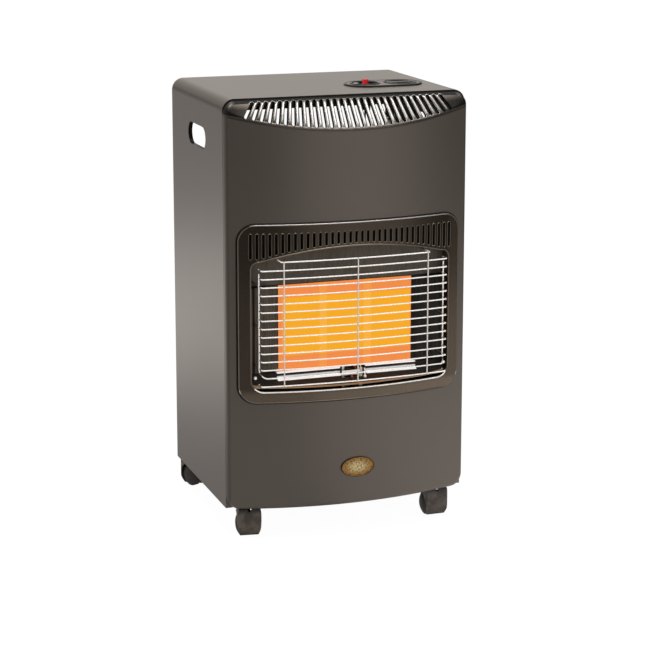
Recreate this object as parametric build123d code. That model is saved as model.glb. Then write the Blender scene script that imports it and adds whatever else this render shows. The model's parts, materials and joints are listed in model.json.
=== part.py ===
from build123d import *
import math
import os

# A portable gas cabinet heater on four castors.  Millimetres, +Z up, the front faces -Y.
# While the pieces are made, y = 0 is the seam where the side panels meet the bowed front
# panel; save() then moves each piece so that the origin is the bottom centre of the whole.

# ---- cabinet ----------------------------------------------------------------------------
cabinet_width = 420.0
cabinet_depth = 311.0           # side panels, from the seam to the back
cabinet_top = 737.5
cabinet_foot = 53.5             # lower edge of the side panels and the front panel
sheet = 1.0                     # steel sheet of the casing
top_bend = 20.0                 # outside radius where the sides turn into the top
seam_lip = 12.0                 # inward lip along the front edge of the wrap
rear_lip = 18.0                 # inward lip along the rear edges of the sides
apron_drop = 62.0               # strip that closes the top of the open back
fit_gap = 0.3                   # running gap between pieces that nearly touch

# ---- carrying slots in both sides --------------------------------------------------------
grip_length = 106.0
grip_height = 37.0
grip_centre_y = 153.5
grip_centre_z = 659.0
grip_collar = 6.0               # depth of the turned-in rim

# ---- bowed front panel -------------------------------------------------------------------
bow_rise = 37.7                 # how far the middle stands out from the ends of the arc
flank_depth = 10.8              # straight return at each end of the arc
panel_corner = 22.0             # corner radius of the outline seen from the front
panel_roll = 9.0                # roll of the perimeter edge
panel_gap = 3.0                 # shadow gap under the edge of the top
panel_lip = 14.0                # inward lip behind the front panel
seam_inset = 0.6                # the lip is set in, which leaves a groove at the seam

# ---- sloped shoulder with the fan louvre -------------------------------------------------
shoulder_back = 5.0             # top edge of the slope, in front of the seam
shoulder_low = 686.0            # crease height on the centre line
shoulder_flare = 25.0           # how much higher the crease is at the side of the panel
crease_round = 8.0
louvre_count = 29
louvre_width = 6.4
louvre_top_half = 161.0         # first and last slot, at the upper end
louvre_foot_half = 177.5        # first and last slot, at the lower end
louvre_top_inset = 3.4          # from the top edge of the slope to the slots
louvre_foot_inset = 3.5         # from the crease to the slots

# ---- surround of the radiant opening -----------------------------------------------------
surround_half = 193.0
surround_low = 237.4
surround_high = 535.7
surround_corner = 29.0
surround_proud = 4.5
surround_flange = 12.0          # overlap of the surround on the front panel
surround_skin = 2.0
surround_bead = 2.0             # rounded outer edge
opening_half = 172.5
opening_low = 257.0
opening_side_top = 462.0        # where the straight sides end
opening_arch_top = 496.0        # crown of the arch
opening_shoulder_top = 474.0    # where the arch meets the corner rounds
opening_corner = 20.0
tunnel_wall = 1.5
vent_count = 35
vent_half = 173.0
vent_width = 4.5
vent_top = 520.6
vent_land = 5.0                 # strip between the vents and the arch

# ---- wire guard --------------------------------------------------------------------------
wire = 2.6
guard_front = 61.0              # centre line of the middle bar, in front of the seam
guard_sag = 11.0                # how much the bars fall back at their ends
guard_half = 161.0
guard_bars = 16
guard_bar_low = 270.5
guard_bar_pitch = 13.75
guard_inner_half = 125.0
guard_bend = 4.0
guard_post_back = 16.0          # outer uprights behind the ends of the bars
guard_long_legs = (4, 9, 14)    # bars whose legs reach back to the burner plate

# ---- radiant burner ----------------------------------------------------------------------
radiant_half = 117.5
radiant_low = 282.0
radiant_high = 427.0
plaque_thick = 12.0
plaque_gap = 0.8
burner_count = 3
burner_depth = 24.0
burner_wall = 1.2
mixing_tube_radius = 8.0
mixing_tube_drop = 44.0
plate_thick = 1.2
plate_half = 184.0
plate_low = 236.0
plate_high = 560.0
housing_depth = 50.0            # from the burner plate to the heat shield
reflector_sheet = 0.8
reflector_reach = 10.0          # how far the slanted reflectors stand forward
tray_step = 9.0
rail_side = 14.0
rail_drop = 16.0                # from the mixing tubes down to the gas rail
injector_radius = 4.0

# ---- controls on the top -----------------------------------------------------------------
plate_centre_x = 106.0
plate_centre_y = 110.0
control_length = 130.0
control_width = 70.0
control_thick = 2.5
control_seat = 6.0              # the hole in the top is this much smaller than the plate
well_wall = 2.0
well_depth = 5.0                # of the igniter's well
knob_well_depth = 14.5
igniter_well_radius = 22.0
knob_well_radius = 27.0
knob_x = 138.0
knob_radius = 25.5
knob_height = 10.0
knob_grip = 11.0
knob_rise = 1.0                 # top of the knob above the control plate
knob_travel = 5.0
igniter_x = 74.0
button_radius = 5.2
button_rise = 7.0               # above the control plate
button_travel = 6.0
igniter_radius = 9.0
igniter_length = 42.0
nut_height = 2.5
spindle_radius = 4.0
plunger_radius = 7.0
valve_width = 44.0
valve_depth = 36.0
valve_height = 46.0
valve_drop = 50.0               # from the top sheet to the valve neck
valve_neck = 10.0
bracket_half = 15.0
bracket_sheet = 1.5
bracket_tab = 6.0
slip = 0.05                     # radial clearance of sliding and turning fits

# ---- pipes and leads ---------------------------------------------------------------------
supply_radius = 4.0
pilot_tube_radius = 2.0
lead_radius = 1.5
pipe_bend = 22.0
nozzle_radius = 4.3
nozzle_length = 26.0
supply_x = 150.0

# ---- base tray and rear cover ------------------------------------------------------------
tray_sheet = 1.2
tray_rise = 3.0                 # floor of the tray above the lower edge of the sides
tray_wall = 15.0
cover_top = 556.0
cover_low = 66.0
cover_bulge = 65.0
cover_flange_half = 203.0
cover_bulge_half = 165.0
cover_slope = 28.0              # how far the walls of the bulge lean in
cover_flange = 9.0
cover_edge_round = 14.0
hook_thick = 1.6
hook_height = 8.0
cover_lift = 12.0

# ---- castors -----------------------------------------------------------------------------
castor_front_x = 165.0
castor_rear_x = 168.0
castor_front_y = 34.0           # swivel axis of the front pair
castor_rear_inset = 26.0        # swivel axis of the rear pair, from the back
castor_trail = 20.0
wheel_radius = 20.0
wheel_width = 11.0
wheel_dome = 5.5                # how far the outer face of a wheel bulges
hub_radius = 4.0
web_width = 9.0                 # between the two wheels
axle_radius = 2.5
hood_gap = 1.2
hood_wall = 2.0
hood_high = 50.5
hood_low = 3.0
hood_foot_half = 15.5           # half width of the hood near the floor
hood_belly_half = 20.5          # at its widest
hood_belly_z = 26.0
hood_head_half = 18.5           # at the top
hood_notch = 3.3                # radius of the notch in the top of the front wall
hood_corner = 4.0
pin_radius = 4.0
socket_side = 38.0
socket_thick = 2.0
front_left_turn = -9.0          # the left castors stand turned a little
rear_left_turn = 204.0

# ---- badge and fasteners -----------------------------------------------------------------
badge_width = 59.0
badge_height = 34.0
badge_x = 4.8                   # it sits a little right of the middle
badge_z = 119.0
badge_thick = 2.0
screw_radius = 2.0
screw_head_radius = 3.8

# ---- worked out from the sizes above -----------------------------------------------------
half_width = cabinet_width / 2
bow_radius = (half_width**2 + bow_rise**2) / (2 * bow_rise)
bow_centre_y = bow_radius - flank_depth - bow_rise
panel_top = cabinet_top - panel_gap
lip_front_y = sheet                      # front face of the wrap's lip
tray_floor = cabinet_foot + tray_rise + tray_sheet
rail_top = radiant_low - mixing_tube_drop - rail_drop
plate_y = fit_gap                        # front face of the burner plate
shield_y = plate_y + housing_depth
valve_top = cabinet_top - sheet - valve_drop
valve_y = plate_centre_y
guard_top_half = guard_inner_half + guard_bend
guard_radius = (guard_half**2 + guard_sag**2) / (2 * guard_sag)
guard_reach = guard_front + wire * (0.7 + math.sqrt(3) / 4)
rear_reach = cabinet_depth + cover_bulge
frame_centre_y = (rear_reach - guard_reach) / 2
castor_rear_y = cabinet_depth - castor_rear_inset
cover_y = cabinet_depth + fit_gap
burner_centre_y = plate_y + plaque_thick + burner_depth / 2
pilot_shelf = opening_low + 3.0
pilot_z = pilot_shelf + 8.0
pilot_y = -9.0
lead_y = plate_y + 8.0
ignition_x = plate_half - 20
thermocouple_x = plate_half - 14
pilot_tube_x = plate_half - 8
control_top = cabinet_top + control_thick
valve_low = valve_top - valve_neck - valve_height
valve_neck_radius = plunger_radius + 4
valve_right = knob_x + valve_width / 2
plunger_low = valve_top - 20
plunger_top = valve_top + knob_travel + 2
spindle_top = control_top + knob_rise - 4
neck_radius = button_radius + 2
button_low = control_top - well_depth - 8
igniter_foot = cabinet_top - igniter_length
boss_radius = pin_radius + 4
boss_low = 2 * wheel_radius + hood_gap + 1
boss_top = cabinet_foot + tray_rise - socket_thick - fit_gap
pin_low = boss_low + 2


def save(name, shape):
    export_step(Pos(0, -frame_centre_y, 0) * shape, f"parts/{name}.step")


def block(x0, x1, y0, y1, z0, z1):
    middle = ((x0 + x1) / 2, (y0 + y1) / 2, (z0 + z1) / 2)
    return Pos(*middle) * Box(x1 - x0, y1 - y0, z1 - z0)


def bar(radius, start, end):
    # a round bar from one point to another
    run = Vector(*end) - Vector(*start)
    along = Plane(origin=start, z_dir=run)
    return along * Cylinder(radius, run.length, align=(Align.CENTER, Align.CENTER, Align.MIN))


def bow_y(x, proud=0.0):
    return bow_centre_y - math.sqrt((bow_radius + proud) ** 2 - x**2)


def front_prism(outline, y0, y1):
    # an outline drawn in x and z, extruded from y0 to y1
    return extrude(Plane.XZ.offset(-y0) * outline, y1 - y0, dir=(0, 1, 0))


def bow_slab(proud, back_y):
    # everything behind the bowed face, moved forward by proud, and in front of back_y
    half = half_width + 20
    edge = bow_y(half, proud)
    face = ThreePointArc((-half, edge), (0, bow_y(0, proud)), (half, edge))
    rest = Polyline((half, edge), (half, back_y), (-half, back_y), (-half, edge))
    return extrude(make_face(face + rest), cabinet_top, dir=(0, 0, 1))


def bowed(outline, proud, back_y):
    # the outline, closed in front by the bowed face and behind by a flat one
    return bow_slab(proud, back_y) & front_prism(outline, bow_y(0, proud) - 1, back_y)


def rounded_outline(half, low, high, corner):
    middle = (low + high) / 2
    return Pos(0, middle) * RectangleRounded(2 * half, high - low, corner)


def tube_route(points, bends):
    return FilletPolyline(*points, radius=bends)


def round_tube(route, radius):
    start = Plane(origin=route @ 0, z_dir=route % 0)
    return sweep(start * Circle(radius), path=route)


# ------------------------------------------------------------------------------------------
# casing
# ------------------------------------------------------------------------------------------
def wrap_section(inset):
    low = cabinet_foot
    high = cabinet_top - inset
    half = half_width - inset
    bend = top_bend - inset
    left = Polyline((-half, high - bend), (-half, low), (half, low), (half, high - bend))
    right_bend = RadiusArc((half, high - bend), (half - bend, high), -bend)
    crown = Line((half - bend, high), (-half + bend, high))
    left_bend = RadiusArc((-half + bend, high), (-half, high - bend), -bend)
    return make_face(left + right_bend + crown + left_bend)


def grip_outline(grow):
    slot = SlotOverall(grip_length + 2 * grow, grip_height + 2 * grow)
    return Plane.YZ * Pos(grip_centre_y, grip_centre_z) * slot


def cabinet_wrap():
    outer = front_prism(wrap_section(0), lip_front_y, cabinet_depth)
    core = front_prism(wrap_section(sheet), lip_front_y - sheet, cabinet_depth + sheet)
    core += block(-half_width + sheet, half_width - sheet, 0, cabinet_depth, 0, cabinet_foot)
    body = outer - core
    front_lip = front_prism(wrap_section(0), lip_front_y, lip_front_y + sheet)
    front_lip -= front_prism(wrap_section(seam_lip), 0, lip_front_y + 2 * sheet)
    rear_edge = front_prism(wrap_section(0), cabinet_depth - sheet, cabinet_depth)
    rear_open = half_width - rear_lip
    rear_edge -= block(-rear_open, rear_open, 0, rear_reach, 0, cabinet_top - apron_drop)
    body = body + front_lip + rear_edge
    for side in (-1, 1):
        inner_x = side * (half_width - sheet)
        collar = extrude(Pos(inner_x, 0, 0) * grip_outline(sheet), grip_collar, dir=(-side, 0, 0))
        hole = extrude(Pos(side * half_width, 0, 0) * grip_outline(0),
                       grip_collar + sheet, dir=(-side, 0, 0))
        body = body + collar - hole
    body -= Pos(plate_centre_x, plate_centre_y, cabinet_top) * extrude(
        SlotOverall(control_length - control_seat, control_width - control_seat), sheet * 2, both=True)
    for side in (-1, 1):
        for hook_z in hook_heights():
            body -= hook_slot(side, hook_z)
    return body


def hook_heights():
    return (cover_low + 70, cover_top - 60)


def hook_slot(side, hook_z):
    # keyhole in the rear lip: tall enough for the whole hook once the cover is lifted
    x = side * (cover_flange_half - 5)
    half = hook_thick / 2 + fit_gap
    low = hook_z
    high = hook_z + hook_height + cover_lift + fit_gap
    return block(x - half, x + half, cabinet_depth - 2 * sheet, cabinet_depth + sheet, low, high)


def shoulder_cutter(inset):
    # the wedge above the sloped shoulder: section lines from the straight top edge to a
    # crease that follows the bow and climbs towards the sides
    sections = []
    reach = 60.0
    for share in (-1.1, -0.55, 0.0, 0.55, 1.1):
        x = share * half_width
        crease_y = bow_y(min(abs(x), half_width))
        crease_z = shoulder_low + shoulder_flare * share**2
        run = Vector(0, crease_y + shoulder_back, crease_z - panel_top)
        across = run.normalized()
        lift = Vector(0, -across.Z, across.Y) * inset
        top = Vector(x, -shoulder_back, panel_top) + lift
        low = top + across * (run.length + reach)
        high = top - across * reach
        rise = Vector(0, 0, 2 * reach)
        ahead = Vector(0, -2 * reach, 0)
        sections.append(Face(Wire.make_polygon([low, high, high + rise, low + rise + ahead])))
    return loft(sections)


def panel_blank(inset, back_y):
    outline = rounded_outline(half_width - inset, cabinet_foot + inset, panel_top - inset,
                              panel_corner - inset)
    body = bowed(outline, -inset, back_y)
    rim = [e for e in body.edges() if e.bounding_box().max.Y < -inset - 1]
    body = fillet(rim, panel_roll - inset) - shoulder_cutter(inset)
    crease = [e for e in body.edges() if e.bounding_box().size.X > half_width
              and shoulder_low - 5 < e.bounding_box().min.Z < shoulder_low + 5]
    return fillet(crease, crease_round - inset)


def louvre_ends(i):
    share = 2 * i / (louvre_count - 1) - 1
    foot_x = share * louvre_foot_half
    crease = shoulder_low + shoulder_flare * (foot_x / half_width) ** 2
    slope = Vector(foot_x, bow_y(foot_x), crease) - Vector(foot_x, -shoulder_back, panel_top)
    along = slope.normalized()
    head = Vector(share * louvre_top_half, -shoulder_back, panel_top) + along * louvre_top_inset
    foot = Vector(foot_x, bow_y(foot_x), crease) - along * louvre_foot_inset
    return head, foot


def louvre_slot(i):
    head, foot = louvre_ends(i)
    run = foot - head
    normal = Vector(1, 0, 0).cross(run)
    place = Plane(origin=(head + foot) * 0.5, x_dir=run, z_dir=normal)
    return extrude(place * SlotOverall(run.length, louvre_width), 12, both=True)


def front_panel():
    body = panel_blank(0, 0) - panel_blank(sheet, sheet)
    for i in range(louvre_count):
        body -= louvre_slot(i)
    edge = rounded_outline(half_width - seam_inset, cabinet_foot + seam_inset,
                           panel_top - seam_inset, panel_corner - seam_inset)
    inner = rounded_outline(half_width - panel_lip, cabinet_foot + panel_lip,
                            panel_top - panel_lip, panel_corner)
    body += front_prism(edge, -sheet, lip_front_y) - front_prism(inner, -2 * sheet, 2 * sheet)
    cut_half = surround_half - surround_flange
    hole = rounded_outline(cut_half, surround_low + surround_flange,
                           surround_high - surround_flange, surround_corner - 8)
    return body - front_prism(hole, bow_y(0) - 5, -sheet * 2)


# ------------------------------------------------------------------------------------------
# surround
# ------------------------------------------------------------------------------------------
def opening_outline(grow):
    half = opening_half + grow
    low = opening_low - grow
    side = opening_side_top
    crown = opening_arch_top + grow
    turn_x = opening_half - 14
    turn_z = opening_shoulder_top + grow
    corner = opening_corner + grow
    base = Polyline((-half, side), (-half, low), (half, low), (half, side))
    right = ThreePointArc((half, side), (half - 3.6, side + (turn_z - side) * 0.68), (turn_x, turn_z))
    arch = ThreePointArc((turn_x, turn_z), (0, crown), (-turn_x, turn_z))
    left = ThreePointArc((-turn_x, turn_z), (-half + 3.6, side + (turn_z - side) * 0.68),
                         (-half, side))
    face = make_face(base + right + arch + left)
    lower = [v for v in face.vertices() if abs(v.Y - low) < 0.01]
    return fillet(lower, corner)


def arch_z(x):
    # height of the arch above the opening at x
    turn_x = opening_half - 14
    rise = opening_arch_top - opening_shoulder_top
    radius = (turn_x**2 + rise**2) / (2 * rise)
    return opening_arch_top - radius + math.sqrt(radius**2 - min(abs(x), turn_x) ** 2)


def vent_slot(i):
    x = -vent_half + 2 * vent_half * i / (vent_count - 1)
    low = arch_z(x) + vent_land
    slot = SlotOverall(vent_top - low, vent_width, rotation=90)
    return front_prism(Pos(x, (vent_top + low) / 2) * slot, bow_y(0) - 10, 0)


def surround():
    outline = rounded_outline(surround_half, surround_low, surround_high, surround_corner)
    inner = rounded_outline(surround_half - surround_skin, surround_low + surround_skin,
                            surround_high - surround_skin, surround_corner - surround_skin)
    body = bowed(outline, surround_proud, -fit_gap)
    rim = [e for e in body.edges() if on_front_rim(e)]
    body = fillet(rim, surround_bead)
    body -= bowed(inner, surround_proud - surround_skin, 1)
    body -= bow_slab(0, 1)
    tunnel = bowed(opening_outline(tunnel_wall), surround_proud - surround_skin / 2, -fit_gap)
    body = body + tunnel
    body -= front_prism(opening_outline(0), bow_y(0) - 10, 1)
    for i in range(vent_count):
        body -= vent_slot(i)
    return body


def on_front_rim(edge):
    middle = edge @ 0.5
    proud_enough = middle.Y < bow_y(middle.X, surround_proud) + 0.05
    return proud_enough


# ------------------------------------------------------------------------------------------
# wire guard
# ------------------------------------------------------------------------------------------
def guard_y(x):
    # centre line of the bars
    return -guard_front + guard_radius - math.sqrt(guard_radius**2 - x**2)


def bar_z(number):
    # bars are counted from the top, the first is 1
    return guard_bar_low + (guard_bars - number) * guard_bar_pitch


def wire_section(plane):
    return plane * RegularPolygon(wire / 2, 6)


def guard_bar(number):
    half = guard_top_half if number == 1 else guard_half
    z = bar_z(number)
    end_y = guard_y(half)
    leg_y = end_y + guard_post_back + wire / 2
    if number in guard_long_legs or number == 1:
        leg_y = plate_y
    start = half - guard_bend
    front = ThreePointArc((-start, guard_y(start), z), (0, guard_y(0), z),
                          (start, guard_y(start), z))
    left_turn = RadiusArc((-half, end_y + guard_bend, z), (-start, guard_y(start), z), -guard_bend)
    right_turn = RadiusArc((start, guard_y(start), z), (half, end_y + guard_bend, z), -guard_bend)
    left_leg = Line((-half, leg_y, z), (-half, end_y + guard_bend, z))
    right_leg = Line((half, end_y + guard_bend, z), (half, leg_y, z))
    path = Wire([left_leg, left_turn, front, right_turn, right_leg])
    section = wire_section(Plane(origin=(-half, leg_y, z), z_dir=(0, -1, 0)))
    return sweep(section, path=path, transition=Transition.RIGHT)


def upright(x, y, low, high):
    return extrude(wire_section(Plane(origin=(x, y, low))), high - low, dir=(0, 0, 1))


def wire_guard():
    top = guard_bar(1)
    short = guard_bar(2)
    long = guard_bar(guard_long_legs[0])
    pieces = []
    for number in range(2, guard_bars + 1):
        first = guard_long_legs[0] if number in guard_long_legs else 2
        drop = bar_z(number) - bar_z(first)
        pieces.append(Pos(0, 0, drop) * (long if number in guard_long_legs else short))
    low = bar_z(guard_bars) - wire / 2
    high = bar_z(1) + wire / 2
    for x in (-guard_inner_half, 0, guard_inner_half):
        pieces.append(upright(x, guard_y(x) - wire * 0.7, low, high))
    for x in (-guard_half, guard_half):
        y = guard_y(x) + guard_post_back
        pieces.append(upright(x, y, bar_z(guard_bars - 1) - wire / 2, bar_z(3) + 3 * wire))
    return top.fuse(*pieces)


def leg_hole(x, number):
    # clearance round a leg of the guard where it passes a reflector
    z = bar_z(number)
    return bar(wire / 2 + fit_gap, (x, -guard_front, z), (x, plate_y + plate_thick, z))


# ------------------------------------------------------------------------------------------
# badge, tray, rear cover
# ------------------------------------------------------------------------------------------
def front_badge():
    oval = Pos(badge_x, badge_z) * Ellipse(badge_width / 2, badge_height / 2)
    field = Pos(badge_x, badge_z) * Ellipse(badge_width / 2 - 2, badge_height / 2 - 2)
    body = bowed(oval, badge_thick, -fit_gap) - bow_slab(0, 1)
    return body - (bowed(field, badge_thick + 1, -fit_gap) - bow_slab(badge_thick - 0.7, 1))


def base_tray():
    half = half_width - sheet - slip
    front = lip_front_y + sheet + slip
    back = cabinet_depth - sheet - fit_gap
    under = cabinet_foot + tray_rise
    body = block(-half, half, front, back, under, under + tray_wall)
    inner = half - tray_sheet
    return body - block(-inner, inner, front + tray_sheet, back + 1, tray_floor, cabinet_top)


def rear_plane(y):
    # a plane that looks backwards, with its second axis upwards
    return Plane(origin=(0, y, 0), x_dir=(-1, 0, 0), z_dir=(0, 1, 0))


def cover_bulge_solid(inset):
    half = cover_flange_half - cover_flange - inset
    low = cover_low + cover_flange + inset
    high = cover_top - cover_flange - inset
    base = rear_plane(cover_y) * rounded_outline(half, low, high, cover_edge_round * 2 - inset)
    depth = cover_bulge - inset - fit_gap
    lean = math.degrees(math.atan(cover_slope / cover_bulge))
    body = extrude(base, depth, taper=lean)
    outer = body.faces().sort_by(Axis.Y)[-1].edges()
    return fillet(outer, cover_edge_round - inset)


def cover_vent(row):
    z = cover_low + 60 + row * 14
    slot = Pos(0, z) * SlotOverall(120, 5)
    return extrude(rear_plane(rear_reach - 10) * slot, 20)


def hook(side, hook_z):
    x = side * (cover_flange_half - 5)
    inside = cabinet_depth - sheet - fit_gap
    neck = block(x - hook_thick / 2, x + hook_thick / 2, inside - hook_thick, cover_y,
                 hook_z, hook_z + hook_height)
    tail = block(x - hook_thick / 2, x + hook_thick / 2, inside - hook_thick, inside,
                 hook_z - hook_height, hook_z + hook_height)
    return neck + tail


def rear_cover():
    outline = rounded_outline(cover_flange_half, cover_low, cover_top, cover_edge_round)
    body = extrude(rear_plane(cover_y) * outline, sheet)
    body = body + cover_bulge_solid(0) - cover_bulge_solid(sheet)
    open_low = cover_low + cover_flange + sheet
    open_half = cover_flange_half - cover_flange - sheet
    mouth = rounded_outline(open_half, open_low, cover_top - cover_flange - sheet,
                            cover_edge_round * 2 - sheet)
    body -= extrude(rear_plane(cover_y - 1) * mouth, 1 + slip)
    for row in range(4):
        body -= cover_vent(row)
    for side in (-1, 1):
        for hook_z in hook_heights():
            body += hook(side, hook_z)
    return body


# ------------------------------------------------------------------------------------------
# burner housing and reflectors
# ------------------------------------------------------------------------------------------
def folded_sheet(points, thick):
    # a bent sheet drawn as one side of its section, thickened to the left of the line
    others = []
    last = len(points) - 1
    for i, (u, v) in enumerate(points):
        before = Vector(*points[max(i - 1, 0)])
        after = Vector(*points[min(i + 1, last)])
        here = Vector(u, v)
        runs = [r.normalized() for r in (here - before, after - here) if r.length > 0]
        normals = [Vector(-r.Y, r.X) for r in runs]
        mitre = sum(normals[1:], normals[0]).normalized()
        shift = mitre * (thick / mitre.dot(normals[0]))
        others.append((u + shift.X, v + shift.Y))
    return make_face(Polyline(*points, *reversed(others), points[0]))


def pilot_places():
    # x of the pilot burner, the thermocouple and the electrode
    return (2.0, 14.0, 24.0)


def lead_heights():
    return (pilot_z - 2.5, pilot_z + 2.5, pilot_z + 7)


def burner_plate():
    body = block(-plate_half, plate_half, plate_y, plate_y + plate_thick, plate_low, plate_high)
    body -= block(-radiant_half, radiant_half, -1, shield_y, radiant_low, radiant_high)
    for x, z in zip(pilot_places(), lead_heights()):
        body -= bar(pilot_tube_radius + fit_gap, (x, -1, z), (x, 3, z))
    return body


def heat_shield():
    front = plate_y + plate_thick
    body = block(-plate_half, plate_half, front, shield_y + sheet, plate_low - 40, plate_high)
    inner = plate_half - sheet
    body -= block(-inner, inner, front - 1, shield_y, 0, cabinet_top)
    ear_y = lip_front_y + sheet
    for side in (-1, 1):
        for low in (plate_low, plate_high - 30):
            ends = sorted((side * (plate_half - sheet / 2), side * (half_width - sheet - 1)))
            body += block(ends[0], ends[1], ear_y, ear_y + sheet, low, low + 30)
    return body


def plaque_edges(i):
    cell = 2 * radiant_half / burner_count
    left = -radiant_half + i * cell
    return left + plaque_gap / 2, left + cell - plaque_gap / 2


def plaque(i):
    left, right = plaque_edges(i)
    return block(left, right, plate_y - 0.2, plate_y + plaque_thick,
                 radiant_low + slip, radiant_high - slip)


def burner(i):
    left, right = plaque_edges(i)
    front = plate_y + plaque_thick
    back = front + burner_depth
    body = block(left, right, front, back, radiant_low, radiant_high)
    body -= block(left + burner_wall, right - burner_wall, front - 1, back - burner_wall,
                  radiant_low + burner_wall, radiant_high - burner_wall)
    x = (left + right) / 2
    top = (x, burner_centre_y, radiant_low + burner_wall)
    low = (x, burner_centre_y, radiant_low - mixing_tube_drop)
    body += bar(mixing_tube_radius, top, low)
    return body - bar(mixing_tube_radius - burner_wall, (x, burner_centre_y, radiant_low + 3), low)


def plaque_frame():
    front = plate_y + plate_thick
    back = plate_y + plaque_thick + burner_depth
    half = radiant_half + slip
    low = radiant_low - slip
    high = radiant_high + slip
    body = block(-half - sheet, half + sheet, front, back, low - sheet, high + sheet)
    body -= block(-half, half, front - 1, back + 1, low, high)
    for i in range(burner_count):
        x = sum(plaque_edges(i)) / 2
        reach = mixing_tube_radius + fit_gap
        body -= block(x - reach, x + reach, burner_centre_y - reach, back + 1, low - 2 * sheet, low + 1)
    return body


def clipped(shape):
    # cut to the inside of the surround's tunnel
    inside = bowed(opening_outline(-fit_gap), surround_proud - 4, plate_y)
    return shape & inside


def reflector_top():
    low = radiant_high + 1.5
    high = opening_arch_top + 2
    points = [(plate_y - slip, low), (-reflector_reach, high)]
    section = Plane.YZ * folded_sheet(points, reflector_sheet)
    body = clipped(extrude(section, opening_half, both=True))
    for side in (-1, 1):
        body -= leg_hole(side * guard_top_half, 1)
        body -= leg_hole(side * guard_half, guard_long_legs[0])
    return body


def reflector_bottom():
    ledge = radiant_low - 1
    points = [(plate_y, ledge), (-8.0, ledge), (-8.0, ledge - tray_step),
              (-26.0, ledge - 2 * tray_step), (-guard_front, ledge - 2 * tray_step - 2)]
    section = Plane.YZ * folded_sheet(points, reflector_sheet)
    body = clipped(extrude(section, opening_half, both=True))
    xs = pilot_places()
    return body - block(xs[0] - 14, xs[-1] + 9, -20, 1, opening_low, radiant_low + 5)


def reflector_side(side):
    points = [(side * (radiant_half + 1), plate_y), (side * opening_half, -reflector_reach - 2)]
    section = folded_sheet(points, side * reflector_sheet)
    low = radiant_low + 0.5
    body = extrude(Pos(0, 0, low) * section, radiant_high - low, dir=(0, 0, 1))
    for number in guard_long_legs[1:]:
        body -= leg_hole(side * guard_half, number)
    return clipped(body)


def gas_rail():
    half = rail_side / 2
    left = plaque_edges(0)[0] + 10
    right = supply_x + rail_side
    body = block(left, right, burner_centre_y - half, burner_centre_y + half,
                 rail_top - rail_side, rail_top)
    wall = 1.5
    body -= block(left + wall, right - wall, burner_centre_y - half + wall,
                  burner_centre_y + half - wall, rail_top - rail_side + wall, rail_top - wall)
    for x in (left + 12, right - 12):
        body += block(x - 8, x + 8, burner_centre_y + half, shield_y, rail_top - rail_side,
                      rail_top - rail_side + 2)
        body += block(x - 8, x + 8, shield_y - 2, shield_y, rail_top - rail_side, rail_top + 6)
    return body


def injectors():
    group = []
    for i in range(burner_count):
        x = sum(plaque_edges(i)) / 2
        base = (x, burner_centre_y, rail_top)
        group.append(bar(injector_radius, base, (x, burner_centre_y, rail_top + 9))
                     + bar(injector_radius / 2, (x, burner_centre_y, rail_top + 8),
                           (x, burner_centre_y, rail_top + 12)))
    return Compound(children=group)


# ------------------------------------------------------------------------------------------
# pilot, thermocouple and spark electrode
# ------------------------------------------------------------------------------------------
def pilot_bracket():
    xs = pilot_places()
    left, right = xs[0] - 8, xs[-1] + 6
    shelf_z = pilot_shelf
    body = block(left, right, pilot_y - 6, plate_y, shelf_z, shelf_z + sheet)
    body += block(left, left + 4, plate_y - sheet, plate_y, shelf_z, shelf_z + 20)
    return body


def pilot_burner():
    x = pilot_places()[0]
    z = lead_heights()[0]
    body = bar(4, (x, pilot_y, pilot_shelf + sheet), (x, pilot_y, pilot_shelf + 14))
    body += bar(5, (x, pilot_y, pilot_shelf + 14), (x, pilot_y, pilot_shelf + 18))
    return body + bar(2.8, (x, pilot_y, z), (x, -3, z))


def thermocouple():
    x = pilot_places()[1]
    z = lead_heights()[1]
    tip = bar(2.4, (x, pilot_y, pilot_shelf + sheet), (x, pilot_y, pilot_shelf + 22))
    points = [(x, pilot_y, z), (x, lead_y, z), (thermocouple_x, lead_y, z),
              (thermocouple_x, lead_y, valve_low - 20), (thermocouple_x, valve_y, valve_low + 12),
              (valve_right, valve_y, valve_low + 12)]
    return tip + round_tube(tube_route(points, [6, 14, 20, 8]), lead_radius)


def spark_electrode():
    x = pilot_places()[2]
    z = lead_heights()[2]
    body = bar(3, (x, pilot_y, pilot_shelf + sheet), (x, pilot_y, pilot_shelf + 18))
    body += bar(0.9, (x, pilot_y, pilot_shelf + 17), (x, pilot_y, pilot_shelf + 23))
    return body + bar(2.2, (x, pilot_y, z), (x, -4, z))


def ignition_lead():
    x = pilot_places()[2]
    z = lead_heights()[2]
    points = [(x, -4, z), (x, lead_y, z), (ignition_x, lead_y, z),
              (ignition_x, lead_y, valve_low - 35), (igniter_x, valve_y, valve_low - 5),
              (igniter_x, valve_y, igniter_foot)]
    return round_tube(tube_route(points, [5, 14, 30, 20]), lead_radius)


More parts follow.
